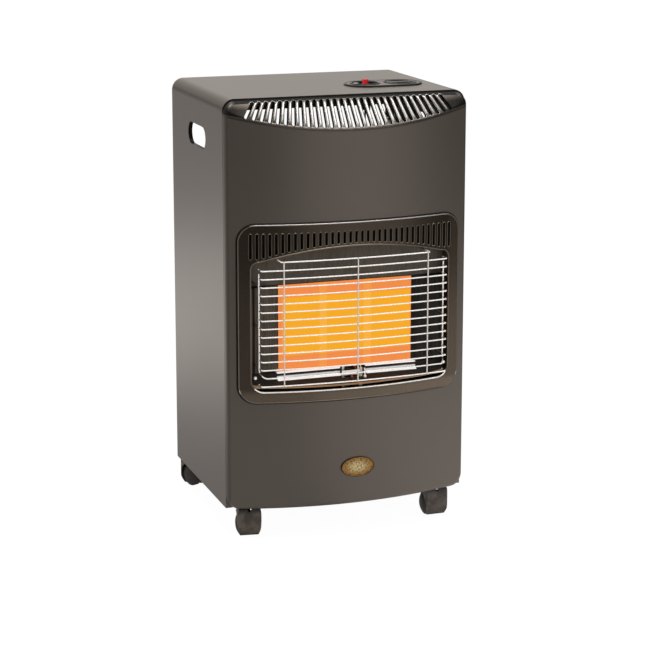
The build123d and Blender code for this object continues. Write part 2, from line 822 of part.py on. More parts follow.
# ------------------------------------------------------------------------------------------
# controls
# ------------------------------------------------------------------------------------------
def control_plate():
    outline = Pos(plate_centre_x, plate_centre_y, cabinet_top)
    body = extrude(outline * SlotOverall(control_length, control_width), control_thick)
    body = fillet(body.faces().sort_by(Axis.Z)[-1].edges(), control_thick * 0.6)
    wells = ((igniter_x, igniter_well_radius, well_depth),
             (knob_x, knob_well_radius, knob_well_depth))
    for x, radius, depth in wells:
        low = control_top - depth
        body += bar(radius + well_wall, (x, plate_centre_y, low - well_wall),
                    (x, plate_centre_y, cabinet_top + 1))
    for x, radius, depth in wells:
        low = control_top - depth
        body -= bar(radius, (x, plate_centre_y, low), (x, plate_centre_y, control_top + 1))
    body -= bar(neck_radius + fit_gap, (igniter_x, plate_centre_y, 0),
                (igniter_x, plate_centre_y, cabinet_top))
    return body - bar(spindle_radius + 2, (knob_x, plate_centre_y, 0),
                      (knob_x, plate_centre_y, cabinet_top))


def control_knob():
    top = control_top + knob_rise
    low = top - knob_height
    centre = (knob_x, plate_centre_y)
    body = bar(knob_radius, (*centre, low), (*centre, top))
    body = chamfer(body.faces().sort_by(Axis.Z)[-1].edges(), 1.2)
    pocket = bar(knob_radius - 3.5, (*centre, low + 3), (*centre, top + 1))
    pocket -= Pos(knob_x, plate_centre_y, top) * Box(3 * knob_radius, knob_grip, 3 * knob_height)
    body -= pocket
    return body - bar(spindle_radius + slip / 2, (*centre, low - 1), (*centre, spindle_top))


def control_spindle():
    centre = (knob_x, plate_centre_y)
    body = bar(spindle_radius, (*centre, plunger_low - 6), (*centre, spindle_top))
    return body + bar(spindle_radius + 2, (*centre, plunger_top), (*centre, plunger_top + 2))


def valve_plunger():
    centre = (knob_x, plate_centre_y)
    body = bar(plunger_radius, (*centre, plunger_low), (*centre, plunger_top))
    return body - bar(spindle_radius + slip, (*centre, 0), (*centre, cabinet_top))


def valve_body():
    centre = (knob_x, plate_centre_y)
    body = block(knob_x - valve_width / 2, knob_x + valve_width / 2, valve_y - valve_depth / 2,
                 valve_y + valve_depth / 2, valve_low, valve_low + valve_height)
    body = chamfer(body.edges().filter_by(Axis.Z), 4)
    body += bar(valve_neck_radius, (*centre, valve_low + valve_height - 1), (*centre, valve_top))
    bore_low = plunger_low - knob_travel - 8
    return body - bar(plunger_radius + slip, (*centre, bore_low), (*centre, cabinet_top))


def valve_bracket():
    seat = valve_low + valve_height
    half = (control_width - control_seat) / 2 + bracket_sheet
    top = cabinet_top - sheet
    left = knob_x - bracket_half
    right = knob_x + bracket_half
    body = block(left, right, valve_y - half, valve_y + half, seat, top)
    inner = half - bracket_sheet
    body -= block(left - 1, right + 1, valve_y - inner, valve_y + inner, seat + bracket_sheet, top + 1)
    tab = half + bracket_tab
    feet = block(left, right, valve_y - tab, valve_y + tab, top - bracket_sheet, top)
    body += feet - block(left - 1, right + 1, valve_y - inner, valve_y + inner, seat, top + 1)
    reach = valve_neck_radius + fit_gap
    return body - bar(reach, (knob_x, valve_y, 0), (knob_x, valve_y, top))


def igniter_body():
    centre = (igniter_x, plate_centre_y)
    floor = control_top - well_depth
    body = bar(igniter_radius, (*centre, igniter_foot), (*centre, floor - well_wall))
    body += bar(neck_radius, (*centre, floor - well_wall - 1), (*centre, floor + nut_height))
    return body - bar(button_radius + slip, (*centre, button_low - button_travel - 1),
                      (*centre, cabinet_top + 20))


def igniter_nut():
    floor = control_top - well_depth
    ring = Pos(igniter_x, plate_centre_y, floor) * RegularPolygon(neck_radius + 4, 6)
    body = extrude(ring, nut_height, dir=(0, 0, 1))
    return body - bar(neck_radius + slip / 2, (igniter_x, plate_centre_y, 0),
                      (igniter_x, plate_centre_y, cabinet_top + 20))


def igniter_button():
    centre = (igniter_x, plate_centre_y)
    body = bar(button_radius, (*centre, button_low), (*centre, control_top + button_rise))
    return fillet(body.faces().sort_by(Axis.Z)[-1].edges(), 1.2)


def supply_tube():
    points = [(knob_x, valve_y, valve_low), (knob_x, valve_y, valve_low - 45),
              (supply_x, burner_centre_y, valve_low - 60), (supply_x, burner_centre_y, rail_top)]
    return round_tube(tube_route(points, [pipe_bend, pipe_bend]), supply_radius)


def pilot_tube():
    x = pilot_places()[0]
    z = lead_heights()[0]
    points = [(x, -3, z), (x, lead_y, z), (pilot_tube_x, lead_y, z),
              (pilot_tube_x, lead_y, valve_low - 10), (pilot_tube_x, valve_y, valve_low + 24),
              (valve_right, valve_y, valve_low + 24)]
    return round_tube(tube_route(points, [5, 14, 20, 10]), pilot_tube_radius)


def hose_nozzle():
    back = valve_y + valve_depth / 2
    z = valve_low + valve_height / 2
    body = bar(8, (knob_x, back, z), (knob_x, back + 8, z))
    return body + bar(nozzle_radius, (knob_x, back + 7, z), (knob_x, back + 8 + nozzle_length, z))


# ------------------------------------------------------------------------------------------
# castors
# ------------------------------------------------------------------------------------------
def castor_places():
    # name, x, y of the swivel axis, and the turn that points the wheels away from the middle
    return (("front_left", -castor_front_x, castor_front_y, front_left_turn),
            ("front_right", castor_front_x, castor_front_y, 0),
            ("rear_left", -castor_rear_x, castor_rear_y, rear_left_turn),
            ("rear_right", castor_rear_x, castor_rear_y, 180))


def wheel_bar(radius, x0, x1):
    return bar(radius, (x0, -castor_trail, wheel_radius), (x1, -castor_trail, wheel_radius))


def barrel_outline(inset):
    # the hood seen from the front: narrow at the floor, widest above the axle
    foot = hood_foot_half - inset
    belly = hood_belly_half - inset
    head = hood_head_half - inset
    high = hood_high - inset
    right = ThreePointArc((foot, hood_low), (belly, hood_belly_z), (head, high))
    left = ThreePointArc((-head, high), (-belly, hood_belly_z), (-foot, hood_low))
    caps = Line((head, high), (-head, high)) + Line((-foot, hood_low), (foot, hood_low))
    return make_face(right + left + caps)


def hood_blank(inset):
    reach = wheel_radius + hood_gap + hood_wall - inset
    front = -castor_trail - reach
    back = -castor_trail + hood_wall
    low = Pos(-castor_trail, wheel_radius) * Circle(reach)
    low -= Pos(reach - castor_trail + hood_wall, 0) * Rectangle(2 * reach, 6 * reach)
    high = Pos((front + back) / 2, (wheel_radius + hood_high - inset) / 2) * Rectangle(
        back - front, hood_high - inset - wheel_radius)
    side_view = extrude(Plane.YZ * (low + high), hood_belly_half + 1, both=True)
    front_view = front_prism(barrel_outline(inset), front - 1, back + 1)
    half = hood_belly_half - inset
    plan = Pos(0, front + 2 * reach) * RectangleRounded(2 * half, 4 * reach, hood_corner - inset)
    return side_view & front_view & extrude(plan, hood_high + 1)


def castor_hood():
    shell = hood_blank(0) - hood_blank(hood_wall)
    shell -= block(-wheel_radius, wheel_radius, -castor_trail, 2 * castor_trail, -1, hood_high - hood_wall)
    shell -= wheel_bar(wheel_radius + hood_gap, -2 * wheel_radius, 2 * wheel_radius)
    notch_z = hood_high - hood_wall
    front = -castor_trail - 2 * wheel_radius
    shell -= bar(hood_notch, (0, front, notch_z), (0, -castor_trail - wheel_radius / 2, notch_z))
    half = web_width / 2
    web = wheel_bar(wheel_radius + hood_gap + hood_wall / 2, -half, half)
    web -= block(-half - 1, half + 1, -3 * castor_trail, castor_trail, -castor_trail, hood_low + 3)
    web -= block(-half - 1, half + 1, 0, castor_trail, -1, hood_high)
    neck = block(-half, half, -castor_trail + hood_wall, 0, wheel_radius, hood_high)
    neck -= wheel_bar(wheel_radius, -half - 1, half + 1)
    boss = bar(boss_radius, (0, 0, boss_low), (0, 0, boss_top))
    roof = block(-boss_radius, boss_radius, -castor_trail, 0, hood_high - hood_wall, hood_high)
    body = shell.fuse(web, neck, boss, roof)
    body -= bar(pin_radius + slip, (0, 0, pin_low), (0, 0, cabinet_top))
    return body - wheel_bar(axle_radius, -web_width, web_width)


def castor_axle():
    reach = web_width / 2 + wheel_width - 4
    return wheel_bar(axle_radius, -reach, reach)


def castor_wheel(side):
    inner = web_width / 2 + fit_gap
    outer = inner + wheel_width - fit_gap
    rim = wheel_radius
    bore = axle_radius + slip
    blind = outer - 3
    crown = outer + wheel_dome
    tread = Polyline((inner, bore), (inner, rim - 1), (inner + 1, rim), (outer - 1.5, rim))
    shoulder = ThreePointArc((outer - 1.5, rim), (outer - 0.5, rim - 0.4), (outer, rim - 1.5))
    dome = ThreePointArc((outer, rim - 1.5), (outer + wheel_dome * 0.75, rim * 0.55),
                         (crown, hub_radius))
    hub = Polyline((crown, hub_radius), (crown, 0), (blind, 0), (blind, bore), (inner, bore))
    body = revolve(make_face(tread + shoulder + dome + hub), Axis.X)
    if side < 0:
        body = Rot(0, 0, 180) * body
    return Pos(0, -castor_trail, wheel_radius) * body


def castor_socket():
    top = cabinet_foot + tray_rise
    half = socket_side / 2
    body = block(-half, half, -half, half, top - socket_thick, top)
    for x, y in socket_screw_places():
        body -= bar(screw_radius + slip, (x, y, top - 5), (x, y, top + 1))
    return body + bar(pin_radius, (0, 0, pin_low + fit_gap), (0, 0, top - socket_thick))


def socket_screw_places():
    reach = socket_side / 2 - 5
    return ((-reach, -reach), (reach, reach), (-reach, reach), (reach, -reach))


def socket_screws():
    top = cabinet_foot + tray_rise
    group = []
    for name, x, y, turn in castor_places():
        for dx, dy in socket_screw_places():
            head = bar(screw_head_radius, (x + dx, y + dy, top - socket_thick - 1.6),
                       (x + dx, y + dy, top - socket_thick))
            shank = bar(screw_radius, (x + dx, y + dy, top - socket_thick - 0.5),
                        (x + dx, y + dy, top - 0.1))
            group.append(head + shank)
    return Compound(children=group)


# ------------------------------------------------------------------------------------------
# write every piece
# ------------------------------------------------------------------------------------------
os.makedirs("parts", exist_ok=True)
for make in (cabinet_wrap, front_panel, surround, wire_guard, front_badge, base_tray, rear_cover,
             burner_plate, heat_shield, plaque_frame, reflector_top, reflector_bottom, gas_rail,
             injectors, pilot_bracket, pilot_burner, thermocouple, spark_electrode,
             ignition_lead, control_plate, control_knob, control_spindle, valve_plunger,
             valve_body, valve_bracket, igniter_body, igniter_nut, igniter_button, supply_tube,
             pilot_tube, hose_nozzle, socket_screws):
    save(make.__name__, make())
save("reflector_left", reflector_side(-1))
save("reflector_right", reflector_side(1))
for i, place in enumerate(("left", "centre", "right")):
    save(f"plaque_{place}", plaque(i))
    save(f"burner_{place}", burner(i))
for name, x, y, turn in castor_places():
    swivel = Pos(x, y, 0) * Rot(0, 0, turn)
    save(f"castor_hood_{name}", swivel * castor_hood())
    save(f"castor_axle_{name}", swivel * castor_axle())
    save(f"castor_wheel_a_{name}", swivel * castor_wheel(-1))
    save(f"castor_wheel_b_{name}", swivel * castor_wheel(1))
    save(f"castor_socket_{name}", Pos(x, y, 0) * castor_socket())
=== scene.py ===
import bpy
import bmesh
import json
import math
from mathutils import Matrix, Vector


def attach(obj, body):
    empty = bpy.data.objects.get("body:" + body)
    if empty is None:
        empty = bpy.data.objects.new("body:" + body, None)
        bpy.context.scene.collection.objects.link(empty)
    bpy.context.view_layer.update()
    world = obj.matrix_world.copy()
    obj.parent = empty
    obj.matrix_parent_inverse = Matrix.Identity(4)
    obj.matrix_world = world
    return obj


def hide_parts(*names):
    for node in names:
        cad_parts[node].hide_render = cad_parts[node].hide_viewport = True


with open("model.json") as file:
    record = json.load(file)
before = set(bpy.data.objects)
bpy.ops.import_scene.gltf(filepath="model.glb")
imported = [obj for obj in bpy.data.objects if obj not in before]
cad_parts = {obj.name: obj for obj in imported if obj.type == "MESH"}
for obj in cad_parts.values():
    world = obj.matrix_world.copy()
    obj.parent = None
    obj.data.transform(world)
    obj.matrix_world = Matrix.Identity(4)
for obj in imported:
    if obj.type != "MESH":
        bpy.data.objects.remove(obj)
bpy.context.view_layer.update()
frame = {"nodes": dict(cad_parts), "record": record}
parts = frame["nodes"]
seamY = -0.156027       # where the sides end and the front begins, in metres as all sizes here
print("frame loaded:", len(parts), "nodes")


class Wire:
    # one output of a node, so that shader maths can be written as plain sums
    def __init__(self, tree, socket):
        self.tree = tree
        self.socket = socket

    def math(self, operation, *values):
        node = self.tree.nodes.new("ShaderNodeMath")
        node.operation = operation
        for slot, value in zip(node.inputs, values):
            if isinstance(value, Wire):
                self.tree.links.new(value.socket, slot)
            else:
                slot.default_value = value
        return Wire(self.tree, node.outputs[0])

    def __add__(self, other):
        return self.math("ADD", self, other)

    def __radd__(self, other):
        return self.math("ADD", other, self)

    def __sub__(self, other):
        return self.math("SUBTRACT", self, other)

    def __rsub__(self, other):
        return self.math("SUBTRACT", other, self)

    def __mul__(self, other):
        return self.math("MULTIPLY", self, other)

    def __rmul__(self, other):
        return self.math("MULTIPLY", other, self)

    def __truediv__(self, other):
        return self.math("DIVIDE", self, other)

    def __rtruediv__(self, other):
        return self.math("DIVIDE", other, self)

    def __pow__(self, other):
        return self.math("POWER", self, other)

    def __neg__(self):
        return self.math("MULTIPLY", self, -1.0)

    def size(self):
        return self.math("ABSOLUTE", self)

    def sign(self):
        return self.math("SIGN", self)

    def below(self, other):
        return self.math("LESS_THAN", self, other)

    def most(self, other):
        return self.math("MAXIMUM", self, other)

    def least(self, other):
        return self.math("MINIMUM", self, other)

    def fract(self):
        return self.math("FRACT", self)

    def clamped(self):
        return self.most(0.0).least(1.0)

    def soft(self, low, high):
        # 0 below low and 1 above high, eased between them
        step = ((self - low) / (high - low)).clamped()
        return step * step * (3.0 - 2.0 * step)


class Graph:
    # short ways to add nodes to a tree
    def __init__(self, tree):
        self.tree = tree

    def node(self, kind, settings=None, sockets=None, out=0):
        node = self.tree.nodes.new("ShaderNode" + kind)
        for key, value in (settings or {}).items():
            setattr(node, key, value)
        for key, value in (sockets or {}).items():
            slot = node.inputs[key]
            if isinstance(value, Wire):
                self.tree.links.new(value.socket, slot)
            else:
                slot.default_value = value
        return Wire(self.tree, node.outputs[out])

    def place(self):
        return self.node("TexCoord", out="Object")

    def split(self, vector):
        outs = self.node("SeparateXYZ", sockets={0: vector}).socket.node.outputs
        return [Wire(self.tree, outs[i]) for i in range(3)]

    def axes(self):
        return self.split(self.place())

    def facing(self):
        return self.split(self.node("TexCoord", out="Normal"))

    def stretched(self, scale):
        return self.node("Mapping", sockets={"Vector": self.place(), "Scale": scale})

    def noise(self, scale, detail=3.0, rough=0.5, vector=None):
        return self.node("TexNoise", sockets={
            "Vector": vector or self.place(), "Scale": scale, "Detail": detail,
            "Roughness": rough})

    def mix(self, factor, first, second):
        # colours only; the three sockets at 0, 6 and 7 are factor, A and B
        return self.node("Mix", {"data_type": "RGBA"}, {0: factor, 6: first, 7: second}, out=2)


class Finish(Graph):
    # one material: fixed numbers go on the shader, everything else through feed()
    def __init__(self, name, **fixed):
        self.made = bpy.data.materials.new(name)
        self.made.use_nodes = True
        super().__init__(self.made.node_tree)
        self.shader = self.tree.nodes["Principled BSDF"]
        for key, value in fixed.items():
            self.shader.inputs[key.replace("_", " ")].default_value = value

    def feed(self, key, wire):
        self.tree.links.new(wire.socket, self.shader.inputs[key])

    def bump(self, height, distance, strength=1.0):
        self.feed("Normal", self.node("Bump", sockets={
            "Height": height, "Distance": distance, "Strength": strength}))


def rgb(red, green, blue):
    # a colour from 0 to 255, as the shader wants it
    def flat(value):
        value /= 255
        return value / 12.92 if value <= 0.04045 else ((value + 0.055) / 1.055) ** 2.4
    return (flat(red), flat(green), flat(blue), 1.0)


# In the finishes a pair is the two places between which something fades in.

panel = {"half": 0.210, "rise": 0.0377, "flank": 0.0108, "top": 0.7345, "back": 0.005,
         "crease": 0.686, "flare": 0.025}


def creaseHeight(x):
    # the crease under the sloped shoulder climbs to both sides
    return panel["crease"] + panel["flare"] / panel["half"] ** 2 * x * x


def upShoulder(x, z):
    # 0 at the crease and 1 at the head of the shoulder
    crease = creaseHeight(x)
    return (z - crease) / (panel["top"] - crease)


casing = {
    # the near-black inner colour is painted shade, and shade is the painted shade of the shoulder and
    # ribs
    "light": rgb(150, 140, 131), "dark": rgb(138, 128, 119), "inside": rgb(20, 18, 17),
    "shade": rgb(62, 59, 55), "rough": 0.34, "metal": 0.93, "grain": 0.4, "coat": 0.12,
    "coatRough": 0.25, "flake": 2600.0, "cloud": 5.0, "flakeShare": 0.7, "flakeDeep": 0.00002,
    "insideRough": 0.4,
}
# painted light: the ribs share the casing's paint but take a much paler colour, as if lit from above
ribLitLook = {"light": rgb(222, 218, 213), "dark": rgb(208, 204, 199), "rough": 0.3, "metal": 0.8,
        "grain": 0.0}


def casingPaint(name, look, inward=None, shaded=None):
    # metallic paint; inward gives 1 on the inner side, which is bare and darkened by painted shade,
    # and shaded gives 1 where painted shade darkens the hollows
    f = Finish(name, Coat_Weight=casing["coat"], Coat_Roughness=casing["coatRough"])
    flake = f.noise(casing["flake"], 1.0)
    cloud = f.noise(casing["cloud"], 2.0)
    share = casing["flakeShare"]
    colour = f.mix(flake * share + cloud * (1.0 - share), look["dark"], look["light"])
    gloss = look["rough"] + 0.05 * cloud
    if shaded:
        colour = f.mix(shaded(f), colour, casing["shade"])
    if inward:
        innerShade = inward(f)
        colour = f.mix(innerShade, colour, casing["inside"])
        gloss = gloss + casing["insideRough"] * innerShade
        f.feed("Metallic", look["metal"] * (1.0 - innerShade))
    else:
        f.shader.inputs["Metallic"].default_value = look["metal"]
    f.feed("Base Color", colour)
    f.feed("Roughness", gloss)
    if look["grain"]:
        f.bump(flake, casing["flakeDeep"], look["grain"])
    return f.made


wrapBareAndShadeLimits = {"toMiddle": -0.3, "down": -0.3, "forward": -0.7, "lip": (-0.15, -0.14),
            "high": (0.3, 0.35)}


def wrapBareAndShaded(f):
    # painted shade on the bare inner side: faces that look at the middle of the cabinet, down, or
    # forward behind the front lip
    v = wrapBareAndShadeLimits
    x, y, z = f.axes()
    nx, ny, nz = f.facing()
    toMiddle = (nx * x.sign()).below(v["toMiddle"])
    lip = y.soft(*v["lip"]).most(z.soft(*v["high"]))
    return toMiddle.most(nz.below(v["down"])).most(ny.below(v["forward"]) * lip)


panelBareAndShadeLimits = {"back": 0.3, "edge": 0.7318, "edgeDrop": 0.07, "edgeFade": 0.0006,
             "ends": (0.190, 0.203)}


def panelBareAndShaded(f):
    # the panel's back, and painted shade on the narrow strip over the slots, which lies under the top
    v = panelBareAndShadeLimits
    x, _, z = f.axes()
    _, ny, _ = f.facing()
    overEdge = z - (v["edge"] - v["edgeDrop"] * x * x)
    strip = overEdge.soft(-v["edgeFade"], v["edgeFade"]) * (1.0 - x.size().soft(*v["ends"]))
    return (1.0 - ny.below(v["back"])).most(strip)


shoulder = {
    "foot": (0.08, 0.16), "line": (-0.07, -0.03), "lineEnd": (0.06, 0.1), "lineShare": 0.6,
    "middle": -0.02, "ends": (0.05, 0.175), "middleShare": 0.35, "fadeFrom": 0.3,
    "fadeMore": 0.2, "fadeTo": 0.92, "roll": (0.2035, 0.2065), "rollShare": 0.4,
}


def shoulderShade(f):
    # painted shade: the shoulder darkens towards its crease, most at both ends, and the bright line at
    # the crease is dimmed; the left roll is dim too
    v = shoulder
    x, _, z = f.axes()
    up = upShoulder(x, z)
    line = up.soft(*v["line"]) * (1.0 - up.soft(*v["lineEnd"])) * v["lineShare"]
    ends = (x - v["middle"]).size().soft(*v["ends"])
    fade = 1.0 - up.soft(v["fadeFrom"] + v["fadeMore"] * ends, v["fadeTo"])
    share = v["middleShare"] + (1.0 - v["middleShare"]) * ends
    roll = (-x).soft(*v["roll"]) * v["rollShare"]
    return (up.soft(*v["foot"]).most(line) * fade * share).most(roll)


ribShadeMask = {
    "feet": (0.15, 0.75), "feetShare": 0.3, "feetLeft": 0.6, "left": (0.02, 0.16),
    "heads": (0.78, 0.97), "headsHalf": (0.07, 0.14), "headsShare": 0.85,
    "turned": (0.25, 0.75), "turnedShare": 0.8,
}


def ribShade(f):
    # painted shade: ribs darken at their feet, most on the left, at their heads in the middle, and
    # facing right
    v = ribShadeMask
    x, _, z = f.axes()
    nx, _, _ = f.facing()
    feet = v["feetShare"] + v["feetLeft"] * (-x).soft(*v["left"])
    feet = feet * (1.0 - upShoulder(x, z).soft(*v["feet"]))
    level = (z - panel["crease"]) / (panel["top"] - panel["crease"])
    heads = level.soft(*v["heads"]) * (1.0 - x.size().soft(*v["headsHalf"])) * v["headsShare"]
    return feet.most(heads).most(nx.soft(*v["turned"]) * v["turnedShare"])


surroundLook = {"deep": rgb(80, 68, 57), "warm": rgb(104, 90, 76), "lit": rgb(140, 123, 105),
                "rough": 0.12, "metal": 0.94, "coat": 0.6, "foot": (0.248, 0.264),
                "right": (0.168, 0.178), "rightShare": 0.35}
# painted highlight: the rolled edges take a much paler copy of the surround's enamel
rolledHighlightLook = {"deep": rgb(140, 129, 115), "warm": rgb(168, 157, 142), "lit": rgb(255, 252, 248),
              "rough": 0.26, "metal": 0.94, "coat": 0.2, "foot": (0.2545, 0.2555),
              "footEnd": (0.2595, 0.2625), "head": (0.533, 0.5345), "headShare": 0.8}
enamelSkin = {"coatRough": 0.05, "cloud": 9.0, "cloudRough": 0.05, "peel": 500.0, "peelDeep": 0.00003,
              "peelShare": 0.35}


def surroundPaintedLight(f, look):
    # painted light: the band under the opening and the right side are painted lighter, as if they
    # caught more light
    x, _, z = f.axes()
    return (1.0 - z.soft(*look["foot"])).most(x.soft(*look["right"]) * look["rightShare"])


def rolledPaintedHighlight(f, look):
    # painted highlight: bright along the opening's lower edge and along the very top
    _, _, z = f.axes()
    foot = z.soft(*look["foot"]) * (1.0 - z.soft(*look["footEnd"]))
    return foot.most(z.soft(*look["head"]) * look["headShare"])


def surroundEnamel(name, look, lift):
    v = enamelSkin
    f = Finish(name, Metallic=look["metal"], Coat_Weight=look["coat"], Coat_Roughness=v["coatRough"])
    cloud = f.noise(v["cloud"], 3.0)
    colour = f.mix(cloud, look["deep"], look["warm"])
    # painted light: where lift gives 1 the enamel takes its lit colour
    f.feed("Base Color", f.mix(lift(f, look), colour, look["lit"]))
    f.feed("Roughness", look["rough"] + v["cloudRough"] * cloud)
    f.bump(f.noise(v["peel"], 1.0), v["peelDeep"], v["peelShare"])
    return f.made


wireLook = {
    "clean": rgb(255, 255, 254), "dull": rgb(246, 245, 243), "upright": rgb(214, 209, 203),
    "legShade": rgb(92, 85, 77), "metal": 0.2, "rough": 0.22, "legX": 0.1592, "legFade": 0.0004,
    "gap": (-0.0465, -0.045), "gapEnd": (-0.0375, -0.036), "rear": (-0.032, -0.0305),
    "uprightX": 0.125, "uprightHalf": 0.0013,
}


def brightWire():
    # plated wire, greyer on the inner uprights, with painted shade where the legs run back to the
    # burner
    v = wireLook
    f = Finish("brightWire", Metallic=v["metal"])
    x, y, _ = f.axes()
    depth = y - seamY
    leg = (x.size() - v["legX"]).soft(-v["legFade"], v["legFade"])
    gap = depth.soft(*v["gap"]) * (1.0 - depth.soft(*v["gapEnd"]))
    legShade = (leg * gap).most(depth.soft(*v["rear"]))
    upright = (x.size() - v["uprightX"]).size().least(x.size()).below(v["uprightHalf"])
    colour = f.mix(f.noise(120.0), v["clean"], v["dull"])
    colour = f.mix(upright, colour, v["upright"])
    f.feed("Base Color", f.mix(legShade, colour, v["legShade"]))
    f.feed("Roughness", v["rough"] + 0.1 * f.noise(300.0) + 0.2 * legShade)
    return f.made


zinc = {"dark": rgb(150, 150, 148), "light": rgb(178, 177, 174), "metal": 0.9, "spangle": 90.0,
        "rough": 0.34, "roughMore": 0.16}


def platedSteel():
    v = zinc
    f = Finish("platedSteel", Metallic=v["metal"])
    spangle = f.node("TexVoronoi", {"feature": "F1"}, {"Vector": f.place(), "Scale": v["spangle"]},
                     out="Color")
    grey = f.node("RGBToBW", sockets={0: spangle})
    f.feed("Base Color", f.mix(grey, v["dark"], v["light"]))
    f.feed("Roughness", v["rough"] + v["roughMore"] * grey)
    return f.made


sheets = {
    # painted shade: the sheets seen through the vents are near black
    "shadedBackSheet": {"light": rgb(40, 37, 34), "dark": rgb(18, 16, 15), "rough": 0.5, "metal": 0.4},
    "reflectorSteel": {"light": rgb(112, 103, 91), "dark": rgb(68, 62, 55), "rough": 0.32,
                       "metal": 0.7, "shadowBand": 0.1635},
    "shadedReflector": {"light": rgb(60, 56, 52), "dark": rgb(26, 24, 22), "rough": 0.3, "metal": 0.6},
    "topReflector": {"light": rgb(105, 98, 88), "dark": rgb(82, 77, 69), "rough": 0.4, "metal": 0.6},
    # painted glint: near white and barely metallic, this steel shows only as bright reflections
    "paintedGlintSteel": {"light": rgb(255, 254, 253), "dark": rgb(228, 227, 225), "rough": 0.2,
                      "metal": 0.1},
}
# a painted shadow on the reflector sides, near the opening
sheetShadowBand = {"colour": rgb(24, 21, 19), "near": (-0.003, -0.002), "far": (0.001, 0.002)}


def rolledSheet(name, look):
    # streaked along its length and tinted by heat; a painted shadow darkens an upright band just
    # inside the sides of the opening
    f = Finish(name, Metallic=look["metal"])
    streak = f.noise(6.0, 4.0, 0.6, f.stretched((60.0, 60.0, 2.0)))
    heat = f.noise(14.0, 3.0)
    colour = f.mix((streak * 0.7 + heat * 0.3).soft(0.3, 0.7), look["dark"], look["light"])
    if "shadowBand" in look:
        x, _, _ = f.axes()
        out = x.size() - look["shadowBand"]
        band = out.soft(*sheetShadowBand["near"]) * (1.0 - out.soft(*sheetShadowBand["far"]))
        colour = f.mix(band, colour, sheetShadowBand["colour"])
    f.feed("Base Color", colour)
    f.feed("Roughness", look["rough"] + 0.18 * streak)
    f.bump(streak, 0.0002, 0.3)
    return f.made


plaque = {
    "heart": rgb(243, 169, 24), "edge": rgb(238, 138, 68), "seam": rgb(246, 180, 66),
    "ember": rgb(228, 108, 36), "bore": (0.02, 0.008, 0.003, 1.0), "face": (0.05, 0.02, 0.006, 1.0),
    "half": 0.1175, "low": 0.282, "high": 0.427, "cell": 0.0783, "seamHalf": 0.0065,
    "seamFade": 0.0012, "topBand": 0.022, "footBand": 0.025, "leftBand": 0.008,
    "rightBand": (0.0, 0.004), "fade": 0.0025, "pitch": 0.0016, "boreEdge": (0.2, 0.34),
    "boreEmber": 0.08, "cloudEmber": 0.05, "rough": 0.85, "boreDeep": 0.0004, "strength": 1.0,
}


def glowingPlaque():
    # fired ceramic with rows of fine bores, duller along its top, foot and left edge
    v = plaque
    f = Finish("glowingPlaque", Roughness=v["rough"], Emission_Strength=v["strength"])
    x, _, z = f.axes()
    fade = v["fade"]
    foot = (z - v["low"]).soft(v["footBand"] - fade, v["footBand"] + fade)
    head = (v["high"] - z).soft(v["topBand"] - fade, v["topBand"] + fade)
    left = (x + v["half"]).soft(v["leftBand"] - fade, v["leftBand"] + fade)
    right = (v["half"] - x).soft(*v["rightBand"])
    heart = foot * head * left * right
    fromSeam = (x.size() - v["cell"] / 2).size()
    seam = 1.0 - fromSeam.soft(v["seamHalf"] - v["seamFade"], v["seamHalf"] + v["seamFade"])
    boreX = ((x / v["pitch"]).fract() - 0.5).size()
    boreZ = ((z / v["pitch"]).fract() - 0.5).size()
    wall = boreX.most(boreZ).soft(*v["boreEdge"])
    hot = f.mix(heart, v["edge"], v["heart"])
    hot = f.mix(seam * (0.25 + 0.45 * heart), hot, v["seam"])
    ember = (1.0 - wall) * v["boreEmber"] + f.noise(60.0, 2.0) * v["cloudEmber"]
    f.feed("Base Color", f.mix(wall, v["bore"], v["face"]))
    f.feed("Emission Color", f.mix(ember, hot, v["ember"]))
    f.bump(wall, v["boreDeep"], 0.6)
    return f.made


warmMetals = {
    "fineBrass": {"low": rgb(120, 96, 48), "high": rgb(196, 170, 100), "cloud": 160.0, "rough": 0.22,
                  "contrast": (0.3, 0.7)},
    "drawnCopper": {"low": rgb(196, 112, 78), "high": rgb(142, 74, 52), "cloud": 70.0, "rough": 0.25},
}


def cloudedMetal(name, look):
    f = Finish(name, Metallic=1.0)
    cloud = f.noise(look["cloud"], 4.0)
    share = cloud.soft(*look["contrast"]) if "contrast" in look else cloud
    f.feed("Base Color", f.mix(share, look["low"], look["high"]))
    f.feed("Roughness", look["rough"] + 0.2 * cloud)
    return f.made


mouldings = {
    # the lead's black rubber, also used as painted shade for the gap round the surround
    "rubberAndShadowBlack": {"light": rgb(30, 29, 28), "dark": rgb(16, 15, 15), "rough": 0.6, "coat": 0.0},
    # the igniter bezel's black, also used as painted shade under the control plate
    "bezelAndShadowBlack": {"light": rgb(26, 25, 24), "dark": rgb(14, 13, 13), "rough": 0.3, "coat": 0.3},
    "redPlastic": {"light": rgb(206, 14, 22), "dark": rgb(184, 10, 16), "rough": 0.35, "coat": 0.05},
    "wheelPlastic": {"light": rgb(50, 46, 42), "dark": rgb(34, 31, 29), "rough": 0.42, "coat": 0.0},
    "shadedWall": {"light": rgb(18, 16, 16), "dark": rgb(10, 9, 9), "rough": 0.6, "coat": 0.0},
}
mouldSkin = {"grain": 900.0, "cloud": 30.0, "roughMore": 0.1, "grainDeep": 0.00004, "grainShare": 0.5}


def finelyGrained(f, rough):
    v = mouldSkin
    grain = f.noise(v["grain"], 2.0)
    f.feed("Roughness", rough + v["roughMore"] * grain)
    f.bump(grain, v["grainDeep"], v["grainShare"])


def mouldedPlastic(name, look):
    f = Finish(name, Coat_Weight=look["coat"])
    f.feed("Base Color", f.mix(f.noise(mouldSkin["cloud"], 2.0), look["dark"], look["light"]))
    finelyGrained(f, look["rough"])
    return f.made


